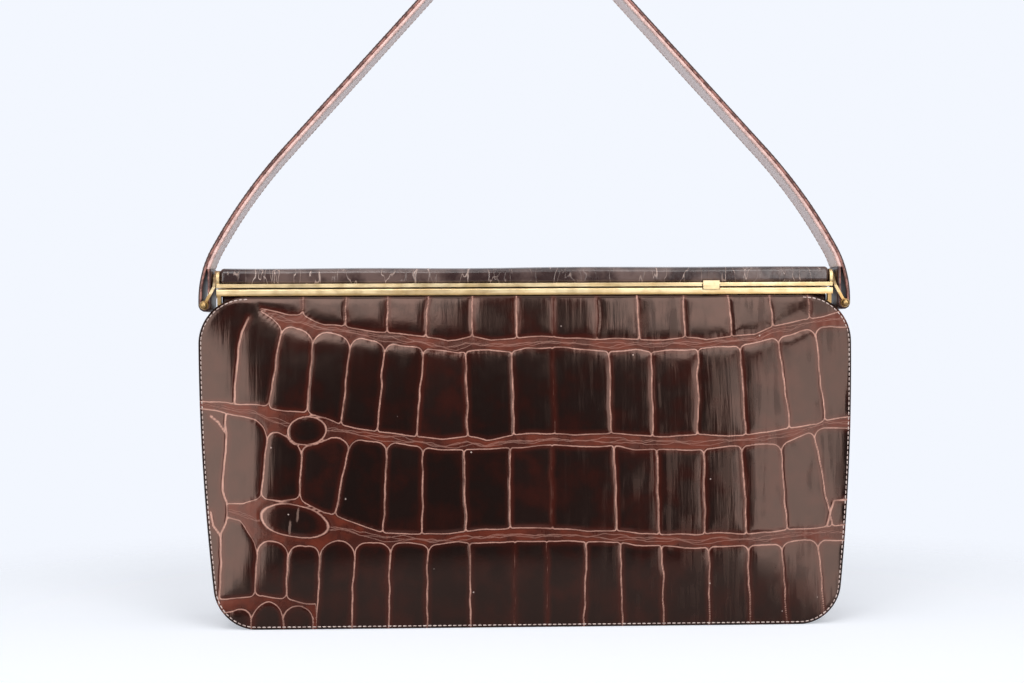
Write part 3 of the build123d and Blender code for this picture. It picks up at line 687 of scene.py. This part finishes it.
def rounded_path(corners, radii, step):
    """Polyline with each inner corner replaced by an arc of its radius, resampled evenly."""
    corners = np.asarray(corners, dtype=float)
    parts = [corners[:1]]
    for before, here, after, radius in zip(corners, corners[1:], corners[2:], radii):
        leave, reach = before - here, after - here
        leave, reach = leave / np.linalg.norm(leave), reach / np.linalg.norm(reach)
        half = np.arccos(np.clip(leave @ reach, -1, 1)) / 2
        middle = here + (leave + reach) / np.linalg.norm(leave + reach) * radius / np.sin(half)
        first = here + leave * radius / np.tan(half) - middle
        cross = np.sign(first[0] * (here - middle)[1] - first[1] * (here - middle)[0])
        turn = cross * np.linspace(0, pi - 2 * half, max(int(radius * (pi - 2 * half) / step), 8) + 1)
        cos, sin = np.cos(turn), np.sin(turn)
        arc = (first[0] * cos - first[1] * sin, first[0] * sin + first[1] * cos)
        parts.append(middle + np.stack(arc, axis=-1))
    return resample(np.concatenate(parts + [corners[-1:]]), step)


def seam_line():
    """Seam of a panel, inside its edge: down one side, along the base and up the other side."""
    p, t = settings("panel"), settings("stitch")
    height = np.linspace(t.inset, p.height - t.inset, 800)
    right = np.stack((half_outline(height, t.inset), height), axis=-1)
    return resample(np.concatenate((right[::-1] * (-1, 1), right)), t.pitch)


def build_stitches():
    """Seams round the two panels and along the strap's edges."""
    material = thread_material()
    p, t, strap = settings("panel"), settings("stitch"), settings("strap")
    line = seam_line()
    along = upright(unit(np.gradient(line, axis=0)))
    turn = np.clip(1 - edge_distance(*line.T) / p.edge_roll, 0, 1)
    deep = front_depth(*line.T) - p.edge_roll * (1 - np.sqrt(1 - turn ** 2))
    for name, side in (("front_stitches", -1), ("back_stitches", 1)):
        out = np.broadcast_to((0.0, side, 0.0), along.shape)
        made = piece(name, *stitch_mesh(upright(line, side * deep), along, out, t), material)
        if side < 0:
            bend_with_frame(made)
        else:
            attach(made, "bag")
    path, out = strap_arch(t.pitch)
    run = upright(unit(np.gradient(path, axis=0)))
    reach = strap.width / 2 - t.strap_inset
    faces_of_strap = ((strap.layer / 2, 1), (-1.5 * strap.layer, -1))
    seams = [stitch_mesh(upright(path + out * lift, edge), run, turned * upright(out), t)
             for edge in (-reach, reach) for lift, turned in faces_of_strap]
    points = np.concatenate([seam[0] for seam in seams])
    faces = np.concatenate([seam[1] + len(seam[0]) * number for number, seam in enumerate(seams)])
    made = piece("strap_stitches", points, faces, material)
    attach(made, "handle")


# Gusset and lining


def build_gusset():
    """Side gusset: one strip from the frame down a side, under the floor and up the other side.

    Across its depth the strip is straight at the floor and folds inwards as a soft V at the sides. The fold
    deepens from the floor to the frame. Near the top the strip draws in past the frame's arms, its front half
    inside the front arm and its back half inside the back arm.
    """
    p, g = settings("panel"), settings("gusset")
    top = p.height + g.rise
    corners = ((-edge_place(top) + g.inset, top), (-edge_place(0) + g.inset, g.inset),
               (edge_place(0) - g.inset, g.inset), (edge_place(top) - g.inset, top))
    corner = p.base_corner - g.inset
    line = rounded_path(corners, (corner, corner), GUSSET_STEP)
    height = line[:, 1]
    share = height / p.height
    line[:, 0] += 4 * p.side_bow * share * (1 - share) * line[:, 0] / edge_place(height)
    across = np.linspace(-1, 1, 33)
    arms = g.arm - g.arm_step * np.tanh(ARM_SHARPNESS * across)
    draw = smooth((height - g.draw_start) / g.draw_rise)
    pull = draw[:, None] * ((edge_place(height) - g.inset)[:, None] - arms)
    fold = np.maximum(g.fold * smooth((height - g.fold_start) / g.fold_rise)[:, None] - pull, 0)
    half = edge_depth(height) - p.thickness
    half -= (half - g.mouth) * smooth((height - g.mouth_start) / g.mouth_rise)
    least = FOLD_SOFT ** 0.5
    soft = (np.sqrt(across ** 2 + FOLD_SOFT) - least) / ((1 + FOLD_SOFT) ** 0.5 - least)
    outer_x = np.sign(line[:, :1]) * (np.abs(line[:, :1]) - pull - fold * (1 - soft))
    normal = unit(np.gradient(line, axis=0))[:, ::-1] * (1, -1)

    def layer(lift):
        x = outer_x - lift * normal[:, :1]
        z = height[:, None] - lift * normal[:, 1:]
        return np.stack((x, half[:, None] * across, z + 0 * x), axis=-1)

    points = np.concatenate((layer(0), layer(g.sheet)[:, ::-1]), axis=1)
    material = leather_material("gusset_leather", settings("colours").gusset)
    made = piece("gusset_skin", points, tube_faces(numbers(points)), material)
    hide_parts("gusset")
    bend_with_frame(made)


def build_lining():
    """Open suede pouch: a superellipse carried from the floor to the frame, inside and out.

    The first two rings close the floor, and the depth follows the bag's up to where it narrows to the mouth.
    """
    p, pouch = settings("panel"), settings("lining")
    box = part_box("lining")
    base, top = box[0][2], box[1][2]
    turn = np.arange(96) / 96 * 2 * pi
    section = np.stack((np.cos(turn), np.sin(turn)), axis=-1)
    section = np.sign(section) * np.abs(section) ** POUCH_POWER
    rise = np.linspace(0, 1, 30)
    share = np.concatenate((0 * np.array(POUCH_FLOOR), rise))
    scale = np.concatenate((POUCH_FLOOR, np.ones(len(rise))))
    height = base + (top - base) * share
    half_x = pouch.base_half + (pouch.top_half - pouch.base_half) * share
    half_y = edge_depth(height) - p.thickness - pouch.gap
    half_y += (pouch.mouth - half_y) * smooth((share - POUCH_NARROW) / (1 - POUCH_NARROW))

    def wall(thin):
        size = np.stack((half_x - thin, half_y - thin), axis=-1) * scale[:, None]
        level = np.maximum(height, base + thin)[:, None] + 0 * turn
        return np.concatenate((size[:, None] * section, level[..., None]), axis=-1)

    points = np.concatenate((wall(0), wall(pouch.sheet)[::-1]))
    made = piece("lining_pouch", points, tube_faces(numbers(points)), suede_material())
    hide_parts("lining")
    bend_with_frame(made)


# Top bar and strap


def build_top_pad():
    """Padded leather strip in the top bar's tray: a superellipse carried along the bar, rounded at its ends.

    Its crown sags and rises a little along the bar as the product of two waves.
    """
    s = settings("lining")
    (left, front, low), (right, back, high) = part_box("top_bar_pad")
    half, tall = (back - front) / 2, (high - low) / 2
    turn = np.linspace(0, 2 * pi, 64, endpoint=False)
    round_y, round_z = [np.sign(wave) * np.abs(wave) ** PAD_POWER for wave in (np.cos(turn), np.sin(turn))]
    cap = s.pad_end * (1 - np.cos(np.linspace(0, pi / 2, 9)[1:-1]))
    middle = np.linspace(left + s.pad_end, right - s.pad_end, 180)
    along = np.concatenate((left + cap, middle, right - cap[::-1]))
    edge = np.clip(np.minimum(along - left, right - along) / s.pad_end, 0, 1)
    shrink = (1 - s.pad_end / tall * (1 - np.sqrt(1 - (1 - edge) ** 2)))[:, None]
    sag = s.pad_sag * np.sin(along / PAD_WAVES[0]) * np.cos(along / PAD_WAVES[1])
    y = half * round_y * (0.6 + 0.4 * shrink)
    z = low + tall + tall * round_z * shrink + sag[:, None] * (round_z > 0.5)
    points = np.stack((along[:, None] + 0 * y, y, np.minimum(z, high)), axis=-1)
    made = piece("top_strip", points, tube_faces(numbers(points)), strip_material())
    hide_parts("top_bar_pad")
    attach(made, "bag")


def strap_path(step):
    """Middle line of the strap from one turned-back tab round the bar, over the arch and to the other tab."""
    s = settings("strap")
    inner = s.foot - 2 * s.loop
    base = s.bar_height - s.loop
    half = ((inner, s.tab_top), (inner, base), (s.foot, base), (s.foot, s.shoulder),
            (s.foot - s.elbow_inset, s.elbow))
    left = [(-across, height) for across, height in half]
    corners = left + [(0, s.peak)] + list(half[::-1])
    bends = (s.loop * SNUG, s.loop * SNUG, s.shoulder_radius, s.elbow_radius)
    return rounded_path(corners, bends + (s.peak_radius,) + bends[::-1], step)


def side_normals(path):
    """Unit normals of a path in the XZ plane, to its left."""
    return unit(np.gradient(path, axis=0)[:, ::-1] * (-1, 1))


def strap_arch(step):
    """Part of the strap's middle line over the tabs, with its outward normals."""
    s = settings("strap")
    path = strap_path(s.layer / 3)
    high = np.flatnonzero((path[:, 1] > s.tab_top) & (np.abs(path[:, 0]) < s.foot + s.loop))
    outer = high[(high > len(path) * 0.05) & (high < len(path) * 0.95)]
    path = resample(path[outer[0]:outer[-1] + 1], step)
    return path, side_normals(path)


def flat_section(width, thickness, radius):
    """Rounded rectangle as (through, across) points, counter-clockwise: four arcs and two long faces."""
    turn = np.linspace(0, pi / 2, 5)
    half = np.array((thickness / 2 - radius, width / 2 - radius))
    flat = np.linspace(1, -1, 9)[1:-1] * half[1]
    parts = []
    for number, corner in enumerate(((1, 1), (-1, 1), (-1, -1), (1, -1))):
        angle = turn + number * pi / 2
        parts.append(half * corner + radius * np.stack((np.cos(angle), np.sin(angle)), axis=-1))
        if number in (1, 3):
            side = number - 2
            parts.append(np.stack((np.full(flat.shape, side * thickness / 2), -side * flat), axis=-1))
    return np.concatenate(parts)


def ribbon(name, path, normal, section, material):
    """A section of (through, across) points carried along a path in the XZ plane, laced up at both ends."""
    place = path[:, None, :] + section[None, :, :1] * normal[:, None, :]
    through, across = np.broadcast_to(section.T[:, None], (2, *place.shape[:2]))
    points = np.stack((place[..., 0], across, place[..., 1]), axis=-1)
    return piece(name, points, tube_faces(numbers(points))[:, ::-1], material, through=through / MM)


def build_strap():
    """Strap handle: the outer layer with its loops and tabs, and the paler lining inside the arch."""
    s, c = settings("strap"), settings("colours")
    section = flat_section(s.width, s.layer, s.edge_round)
    path = strap_path(STRAP_STEP)
    outer = ribbon("strap_band", path, side_normals(path), section,
                   strap_material("strap_outer", c.strap, c.strap_cut, 0.75))
    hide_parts("strap")
    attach(outer, "handle")
    inner = ribbon("strap_inside", *strap_arch(STRAP_STEP), section - (s.layer, 0),
                   strap_material("strap_inner", c.strap_lining, c.strap_edge, 0.25))
    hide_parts("strap_lining")
    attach(inner, "handle")


# Materials


def new_group(name, inputs, outputs):
    """Shader node group with float, colour or vector sockets; sockets are (name, kind) pairs."""
    group = bpy.data.node_groups.new(name, "ShaderNodeTree")
    kinds = {"value": "NodeSocketFloat", "colour": "NodeSocketColor", "vector": "NodeSocketVector"}
    for label, kind in inputs:
        group.interface.new_socket(label, in_out="INPUT", socket_type=kinds[kind])
    for label, kind in outputs:
        group.interface.new_socket(label, in_out="OUTPUT", socket_type=kinds[kind])
    return group, Nodes(group), group.nodes.new("NodeGroupInput"), group.nodes.new("NodeGroupOutput")


class Nodes:
    """Short calls for the nodes of one tree."""

    def __init__(self, tree):
        self.tree = tree

    def make(self, kind, *links, **values):
        """New node with inputs set by position: a socket is linked, a plain value is set."""
        node = self.tree.nodes.new(kind)
        for key, value in values.items():
            setattr(node, key, value)
        for socket, value in zip(node.inputs, links):
            self.put(socket, value)
        return node

    def put(self, socket, value):
        """Link or set one input socket; None leaves it alone."""
        if isinstance(value, bpy.types.NodeSocket):
            self.tree.links.new(value, socket)
        elif value is not None:
            socket.default_value = value

    def math(self, operation, first, second=None, third=None, clamp=False):
        """Result of a Math node."""
        node = self.make("ShaderNodeMath", first, second, third, operation=operation, use_clamp=clamp)
        return node.outputs[0]

    def ramp(self, value, low, high, start=0.0, end=1.0):
        """Value mapped smoothly from one range to another and held at its ends."""
        node = self.make("ShaderNodeMapRange", value, low, high, start, end, interpolation_type="SMOOTHSTEP")
        return node.outputs[0]

    def mix(self, share, first, second, blend="MIX"):
        """Mix of two colours."""
        node = self.make("ShaderNodeMix", data_type="RGBA", blend_type=blend)
        self.put(node.inputs[0], share)
        self.put(node.inputs[6], as_colour(first))
        self.put(node.inputs[7], as_colour(second))
        return node.outputs[2]

    def noise(self, vector, scale, detail=3.0, rough=0.55, warp=0.0):
        """Value of a Noise texture at a vector."""
        node = self.make("ShaderNodeTexNoise")
        self.put(node.inputs["Vector"], vector)
        for key, value in (("Scale", scale), ("Detail", detail), ("Roughness", rough), ("Distortion", warp)):
            node.inputs[key].default_value = value
        return node.outputs[0]

    def stretch(self, vector, across, deep, up):
        """Vector scaled along each axis."""
        return self.make("ShaderNodeMapping", vector, None, None, (across, deep, up)).outputs[0]

    def attribute(self, name):
        """Float attribute of the mesh."""
        return self.make("ShaderNodeAttribute", attribute_name=name).outputs["Fac"]


def as_colour(value):
    """Colour value with an alpha, or a socket as it is."""
    return value if isinstance(value, bpy.types.NodeSocket) else (*value, 1.0)


def new_material(name, **values):
    """Material with one Principled shader and constant values on its sockets; gives all three of them."""
    material = bpy.data.materials.new(name)
    material.use_nodes = True
    nodes = Nodes(material.node_tree)
    shader = next(node for node in material.node_tree.nodes if node.type == "BSDF_PRINCIPLED")
    for key, value in values.items():
        shader.inputs[key.replace("_", " ")].default_value = value
    return material, nodes, shader


def place_of(nodes):
    """Object coordinates."""
    return nodes.make("ShaderNodeTexCoord").outputs["Object"]


def bump(nodes, shader, height, strength, distance):
    """Bump of a height value on a shader's normal."""
    node = nodes.make("ShaderNodeBump")
    node.inputs["Strength"].default_value = strength
    node.inputs["Distance"].default_value = distance
    nodes.put(node.inputs["Height"], height)
    nodes.put(shader.inputs["Normal"], node.outputs[0])


def scale_tone_group():
    """Colour, roughness and fine height of alligator hide from the distance to a scale's edge in millimetres.

    Scales are dark with redder edges, grooves are pale lines, bands are red-brown with strands along them,
    and the gloss is hazy in upright streaks towards the right.
    """
    c = settings("colours")
    group, n, into, out = new_group(
        "hide_tone", (("Edge", "value"), ("Random", "value"), ("Band", "value"), ("Place", "vector")),
        (("Colour", "colour"), ("Roughness", "value"), ("Height", "value")))
    edge, random, place = into.outputs["Edge"], into.outputs["Random"], into.outputs["Place"]
    fine = n.noise(place, 900.0)
    blotch = n.noise(place, 90.0, 4.0)
    ragged = n.math("ADD", edge, n.math("MULTIPLY", n.math("SUBTRACT", fine, 0.5), 0.3))
    middle = n.math("MULTIPLY", n.ramp(ragged, 0.1, 2.6), n.ramp(blotch, 0.3, 0.6, 0.55, 1.0))
    darker = n.math("MULTIPLY_ADD", random, 0.5, 0.65)
    tile = n.mix(1.0, n.mix(middle, c.scale_red, c.scale),
                 n.make("ShaderNodeCombineColor", darker, darker, darker).outputs[0], "MULTIPLY")
    across = n.make("ShaderNodeSeparateXYZ", place).outputs["X"]
    along = n.math("MULTIPLY", across, 45.0)
    strands = 0.0
    for strand in range(3):
        lane = n.noise(n.make("ShaderNodeCombineXYZ", along, 7.3 * strand).outputs[0], 1.0, 3.0)
        aside = n.math("MULTIPLY_ADD", n.math("SUBTRACT", lane, 0.5), -8.0, into.outputs["Band"])
        strands = n.math("ADD", strands, n.ramp(n.math("ABSOLUTE", aside), 0.04, 0.24, 1.0, 0.0), clamp=True)
    bare = n.mix(n.ramp(blotch, 0.35, 0.65), c.scale_red, c.band)
    band = n.mix(n.math("MULTIPLY", strands, 0.26), bare, c.line)
    in_band = n.ramp(ragged, -0.35, -0.8)
    off_line = n.math("ABSOLUTE", n.math("ADD", ragged, 0.1))
    line = n.math("SUBTRACT", 1.0, n.math("DIVIDE", off_line, 0.36), clamp=True)
    faint = n.math("MULTIPLY", line, n.ramp(n.noise(place, 140.0, 2.0), 0.3, 0.6, 0.55, 1.0))
    ground = n.mix(faint, n.mix(in_band, tile, band), c.line)
    specks = n.make("ShaderNodeTexVoronoi")
    n.put(specks.inputs["Vector"], place)
    specks.inputs["Scale"].default_value = 130.0
    chosen = n.ramp(n.make("ShaderNodeSeparateColor", specks.outputs["Color"]).outputs[0], 0.78, 0.8)
    dust = n.math("MULTIPLY", n.ramp(specks.outputs["Distance"], 0.03, 0.055, 1.0, 0.0), chosen)
    n.put(out.inputs["Colour"], n.mix(n.math("MULTIPLY", dust, 0.6), ground, c.thread))
    streak = n.noise(n.stretch(place, 420.0, 60.0, 28.0), 1.0, 3.0)
    patches = n.math("MULTIPLY", n.ramp(streak, 0.47, 0.6), n.ramp(n.noise(place, 55.0, 2.0), 0.42, 0.6))
    haze = n.math("MULTIPLY", patches, n.ramp(across, 0.0, 0.07, 0.12, 1.0))
    worn = n.math("ADD", n.math("MULTIPLY", haze, 0.22), n.math("MULTIPLY", in_band, 0.16))
    n.put(out.inputs["Roughness"], n.math("ADD", n.ramp(blotch, 0.3, 0.7, 0.09, 0.17), worn))
    height = n.math("ADD", n.math("MULTIPLY", streak, 0.4), n.math("MULTIPLY", fine, 0.06))
    ropes = n.math("MULTIPLY", in_band, n.math("MULTIPLY", strands, 0.6))
    n.put(out.inputs["Height"], n.math("ADD", height, ropes))
    return group


def hide_material():
    """Glossy alligator hide."""
    material, n, shader = new_material("alligator_hide", Coat_Weight=0.07, Coat_Roughness=0.06,
                                       Specular_Tint=(1.0, 0.63, 0.51, 1.0))
    tone = n.make("ShaderNodeGroup", node_tree=scale_tone_group())
    n.put(tone.inputs["Edge"], n.attribute("scale_edge"))
    n.put(tone.inputs["Random"], n.attribute("scale_random"))
    n.put(tone.inputs["Band"], n.attribute("band_place"))
    n.put(tone.inputs["Place"], place_of(n))
    n.put(shader.inputs["Base Color"], tone.outputs["Colour"])
    n.put(shader.inputs["Roughness"], tone.outputs["Roughness"])
    bump(n, shader, tone.outputs["Height"], 0.5, 0.0003)
    return material


def leather_material(name, tint):
    """Satin calf leather with a fine grain."""
    material, n, shader = new_material(name, Roughness=0.45)
    place = place_of(n)
    soft = n.ramp(n.noise(place, 60.0), 0.3, 0.7, 0.0, 0.5)
    n.put(shader.inputs["Base Color"], n.mix(soft, tint, settings("colours").scale_red))
    bump(n, shader, n.noise(place, 700.0), 0.3, 0.0002)
    return material


def suede_material():
    """Matt tan suede."""
    material, n, shader = new_material("lining_suede", Roughness=0.9, Sheen_Weight=0.3)
    place = place_of(n)
    nap = n.ramp(n.noise(place, 120.0), 0.3, 0.7, 0.0, 0.35)
    n.put(shader.inputs["Base Color"], n.mix(nap, settings("colours").lining, SUEDE_DARK))
    bump(n, shader, n.noise(place, 1800.0), 0.4, 0.0002)
    return material


def strip_material():
    """Aged leather of the top bar, crazed with pale cracks."""
    c = settings("colours")
    material, n, shader = new_material("top_strip", Roughness=0.24, Coat_Weight=0.3, Coat_Roughness=0.12)
    place = place_of(n)
    wrinkle = n.noise(n.stretch(place, 190.0, 60.0, 60.0), 1.0, 2.0, 0.5, 0.5)
    crack = n.ramp(n.math("ABSOLUTE", n.math("SUBTRACT", wrinkle, 0.5)), 0.0, 0.016, 1.0, 0.0)
    faint = n.math("MULTIPLY", crack, n.ramp(n.noise(place, 60.0), 0.4, 0.6, 0.1, 0.8))
    blotch = n.ramp(n.noise(place, 70.0, 4.0), 0.38, 0.62)
    n.put(shader.inputs["Base Color"], n.mix(faint, n.mix(blotch, c.strap, c.pad), c.crack))
    height = n.math("SUBTRACT", n.noise(place, 130.0, 3.0), n.math("MULTIPLY", crack, 0.3))
    bump(n, shader, height, 0.5, 0.0006)
    return material


def strap_material(name, tint, edge, speckle):
    """Strap leather: its face colour, with a paler, speckled cut edge that darkens towards the outside."""
    material, n, shader = new_material(name, Roughness=0.42)
    place = place_of(n)
    s, c = settings("strap"), settings("colours")
    deep = n.math("ABSOLUTE", n.make("ShaderNodeSeparateXYZ", place).outputs["Y"])
    rim = n.ramp(deep, s.width / 2 - s.cut, s.width / 2 - s.cut / 3)
    face = n.mix(n.ramp(n.noise(place, 160.0), 0.35, 0.7, 0.0, 0.3), tint, edge)
    layers = n.mix(n.ramp(n.attribute("through"), -0.25, 0.3), edge, c.strap)
    specks = n.ramp(n.noise(place, 420.0), 0.42, 0.6, 0.0, speckle)
    n.put(shader.inputs["Base Color"], n.mix(rim, face, n.mix(specks, layers, c.scale_red)))
    bump(n, shader, n.noise(place, 400.0), 0.12, 0.0002)
    return material


def thread_material():
    """Pale waxed thread."""
    material, n, shader = new_material("stitch_thread", Roughness=0.6)
    shade = n.ramp(n.noise(place_of(n), 300.0), 0.35, 0.65)
    c = settings("colours")
    n.put(shader.inputs["Base Color"], n.mix(n.math("MULTIPLY", shade, 0.4), c.thread, c.band))
    return material


def brass_material():
    """Brass with dull patches, brown streaks along the rails, and painted shade below the front rail's upper
    edge.
    """
    c = settings("colours")
    material, n, shader = new_material("worn_brass", Metallic=1.0)
    place = place_of(n)
    worn = n.ramp(n.noise(place, 160.0, 5.0), 0.4, 0.68)
    rail_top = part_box("front_jaw")[1][2]
    high = n.make("ShaderNodeSeparateXYZ", place).outputs["Z"]
    # Painted shade: below the front rail's upper edge, and on the arms, lugs and hinge lower down, the brass
    # turns brown in place of the shade under the rail's rounded face.
    under = n.ramp(high, rail_top - 2.7 * MM, rail_top - 1.3 * MM, 0.85, 0.0)
    streaks = n.ramp(n.noise(n.stretch(place, 22.0, 300.0, 300.0), 1.0), 0.4, 0.65, 0.0, 0.5)
    # The brown colour covers both the painted shade below the rail and the real patina streaks along the
    # rails.
    tarnish_and_shade = n.math("MAXIMUM", under, streaks)
    n.put(shader.inputs["Base Color"], n.mix(tarnish_and_shade, n.mix(worn, c.brass, c.brass_dull), c.tarnish_and_shade))
    n.put(shader.inputs["Roughness"], n.ramp(n.noise(place, 260.0), 0.3, 0.7, 0.34, 0.46))
    bump(n, shader, n.noise(n.stretch(place, 60.0, 500.0, 500.0), 1.0), 0.12, 0.0002)
    return material


def steel_material():
    """Drawn spring steel."""
    material, n, shader = new_material("spring_steel", Metallic=1.0, Roughness=0.3)
    drawn = n.noise(place_of(n), 500.0)
    n.put(shader.inputs["Base Color"], n.mix(drawn, settings("colours").steel, STEEL_DARK))
    return material


def dress_metal():
    """Brass and steel on the solids that show as they are."""
    made = {"brass": brass_material(), "spring_steel": steel_material()}
    for entry in frame["record"]["subparts"]:
        if entry["material_slot"] in made:
            mesh = frame["nodes"][entry["node"]].data
            mesh.materials.clear()
            mesh.materials.append(made[entry["material_slot"]])


# Stage


def floor_material():
    """Pale floor that fades out with distance, so that it runs into the white background."""
    s = settings("stage")
    material, n, shader = new_material("pale_floor", Roughness=0.9, Specular_IOR_Level=0.1)
    shader.inputs["Base Color"].default_value = as_colour(s.floor)
    shader.inputs["Emission Color"].default_value = as_colour(s.background)
    seen = n.make("ShaderNodeLightPath").outputs["Is Camera Ray"]
    n.put(shader.inputs["Emission Strength"], n.math("MULTIPLY", seen, FLOOR_GLOW))
    away = n.make("ShaderNodeVectorMath", place_of(n), operation="LENGTH").outputs["Value"]
    n.put(shader.inputs["Alpha"], n.ramp(away, 0.45 * s.floor_radius, 0.98 * s.floor_radius, 1.0, 0.0))
    return material


def soft_box(name, place, wide, tall, radiance):
    """Area lamp of a radiance, turned to the bag; its power is radiance times area times pi."""
    lamp = bpy.data.lights.new(name, "AREA")
    lamp.shape = "RECTANGLE"
    lamp.size, lamp.size_y = wide, tall
    lamp.energy = radiance * wide * tall * pi
    made = bpy.data.objects.new(name, lamp)
    made.location = place
    away = np.array(place) - LAMP_AIM
    level = np.hypot(away[0], away[1])
    made.rotation_euler = (np.arctan2(level, away[2]), 0, np.arctan2(away[0], -away[1]))
    bpy.context.scene.collection.objects.link(made)


def build_world():
    """White for the camera and behind the bag; a dim room in front of it and for the light."""
    s = settings("stage")
    world = bpy.data.worlds.new("studio")
    world.use_nodes = True
    n = Nodes(world.node_tree)
    shade = next(node for node in world.node_tree.nodes if node.type == "BACKGROUND")
    path = n.make("ShaderNodeLightPath")
    direction = n.make("ShaderNodeSeparateXYZ", n.make("ShaderNodeTexCoord").outputs["Generated"])
    behind = n.ramp(direction.outputs["Y"], -0.15, 0.35)
    mirror = n.math("MAXIMUM", path.outputs["Is Glossy Ray"], path.outputs["Is Transmission Ray"])
    seen = n.math("MAXIMUM", path.outputs["Is Camera Ray"], n.math("MULTIPLY", mirror, behind))
    n.put(shade.inputs["Color"], n.mix(seen, ROOM, s.background))
    shade.inputs["Strength"].default_value = 1.0
    bpy.context.scene.world = world


def build_stage():
    """Camera, floor, world and soft lamps."""
    s = settings("stage")
    scene = bpy.context.scene
    scene.view_settings.view_transform = "Standard"
    lens = bpy.data.cameras.new("camera")
    lens.lens, lens.sensor_width = s.lens, SENSOR_WIDTH
    camera = bpy.data.objects.new("camera", lens)
    camera.location = (s.camera_x, -s.camera_distance, s.camera_height)
    camera.rotation_euler = (pi / 2, s.roll, -s.yaw)
    scene.collection.objects.link(camera)
    scene.camera = camera
    turn = np.arange(FLOOR_SIDES) * 2 * pi / FLOOR_SIDES
    radius = np.array(FLOOR_RINGS)[:, None] * s.floor_radius
    points = np.stack((radius * np.cos(turn), radius * np.sin(turn), 0 * radius + 0 * turn), axis=-1)
    index = numbers(points)
    faces = np.concatenate((grid_faces(ring(index))[:, ::-1], zip_faces(index[0])))
    piece("floor", points, faces, floor_material())
    build_world()
    for lamp in LAMPS:
        soft_box(*lamp)


# Add-on


class BAG_OT_hides(bpy.types.Operator):
    """Build the front and back panels in alligator hide."""

    bl_idname = "bag.hides"
    bl_label = "Hides"

    def execute(self, context):
        build_hides()
        return {"FINISHED"}


class BAG_OT_gusset(bpy.types.Operator):
    """Build the folding side gusset."""

    bl_idname = "bag.gusset"
    bl_label = "Gusset"

    def execute(self, context):
        build_gusset()
        return {"FINISHED"}


class BAG_OT_lining(bpy.types.Operator):
    """Build the suede lining."""

    bl_idname = "bag.lining"
    bl_label = "Lining"

    def execute(self, context):
        build_lining()
        return {"FINISHED"}


class BAG_OT_top_pad(bpy.types.Operator):
    """Build the padded leather strip of the top bar."""

    bl_idname = "bag.top_pad"
    bl_label = "Top bar pad"

    def execute(self, context):
        build_top_pad()
        return {"FINISHED"}


class BAG_OT_strap(bpy.types.Operator):
    """Build the strap handle and its lining."""

    bl_idname = "bag.strap"
    bl_label = "Strap"

    def execute(self, context):
        build_strap()
        return {"FINISHED"}


class BAG_OT_stitches(bpy.types.Operator):
    """Build the seams of the panels and the strap."""

    bl_idname = "bag.stitches"
    bl_label = "Stitches"

    def execute(self, context):
        build_stitches()
        return {"FINISHED"}


class BAG_OT_metal(bpy.types.Operator):
    """Give the brass and steel solids their materials."""

    bl_idname = "bag.metal"
    bl_label = "Metal"

    def execute(self, context):
        dress_metal()
        return {"FINISHED"}


class BAG_OT_stage(bpy.types.Operator):
    """Build the camera, floor, world and lamps."""

    bl_idname = "bag.stage"
    bl_label = "Stage"

    def execute(self, context):
        build_stage()
        return {"FINISHED"}


STEPS = (
    BAG_OT_hides, BAG_OT_gusset, BAG_OT_lining, BAG_OT_top_pad,
    BAG_OT_strap, BAG_OT_stitches, BAG_OT_metal, BAG_OT_stage,
)
GROUPS = {
    "panel": BAG_PG_panel, "scales": BAG_PG_scales, "strap": BAG_PG_strap, "stitch": BAG_PG_stitch,
    "gusset": BAG_PG_gusset, "lining": BAG_PG_lining, "colours": BAG_PG_colours, "stage": BAG_PG_stage,
}


class BAG_PT_sidebar(bpy.types.Panel):
    """Lists the handbag's settings and building steps."""

    bl_label = "Handbag"
    bl_idname = "BAG_PT_sidebar"
    bl_space_type = "VIEW_3D"
    bl_region_type = "UI"
    bl_category = "Handbag"

    def draw(self, context):
        for made in STEPS:
            self.layout.operator(made.bl_idname)
        for name, group in GROUPS.items():
            box = self.layout.box()
            for key in group.__annotations__:
                box.prop(getattr(context.scene, "bag_" + name), key)


CLASSES = (*GROUPS.values(), *STEPS, BAG_PT_sidebar)


def register():
    """Register the classes and hang the settings on the scene."""
    for cls in CLASSES:
        bpy.utils.register_class(cls)
    for name, group in GROUPS.items():
        setattr(bpy.types.Scene, "bag_" + name, PointerProperty(type=group))


def unregister():
    """Take the settings and classes away again."""
    for name in GROUPS:
        delattr(bpy.types.Scene, "bag_" + name)
    for cls in reversed(CLASSES):
        bpy.utils.unregister_class(cls)


def main():
    """Build every piece and the stage."""
    register()
    for made in STEPS:
        group, name = made.bl_idname.split(".")
        getattr(getattr(bpy.ops, group), name)()


if __name__ == "__main__":
    main()
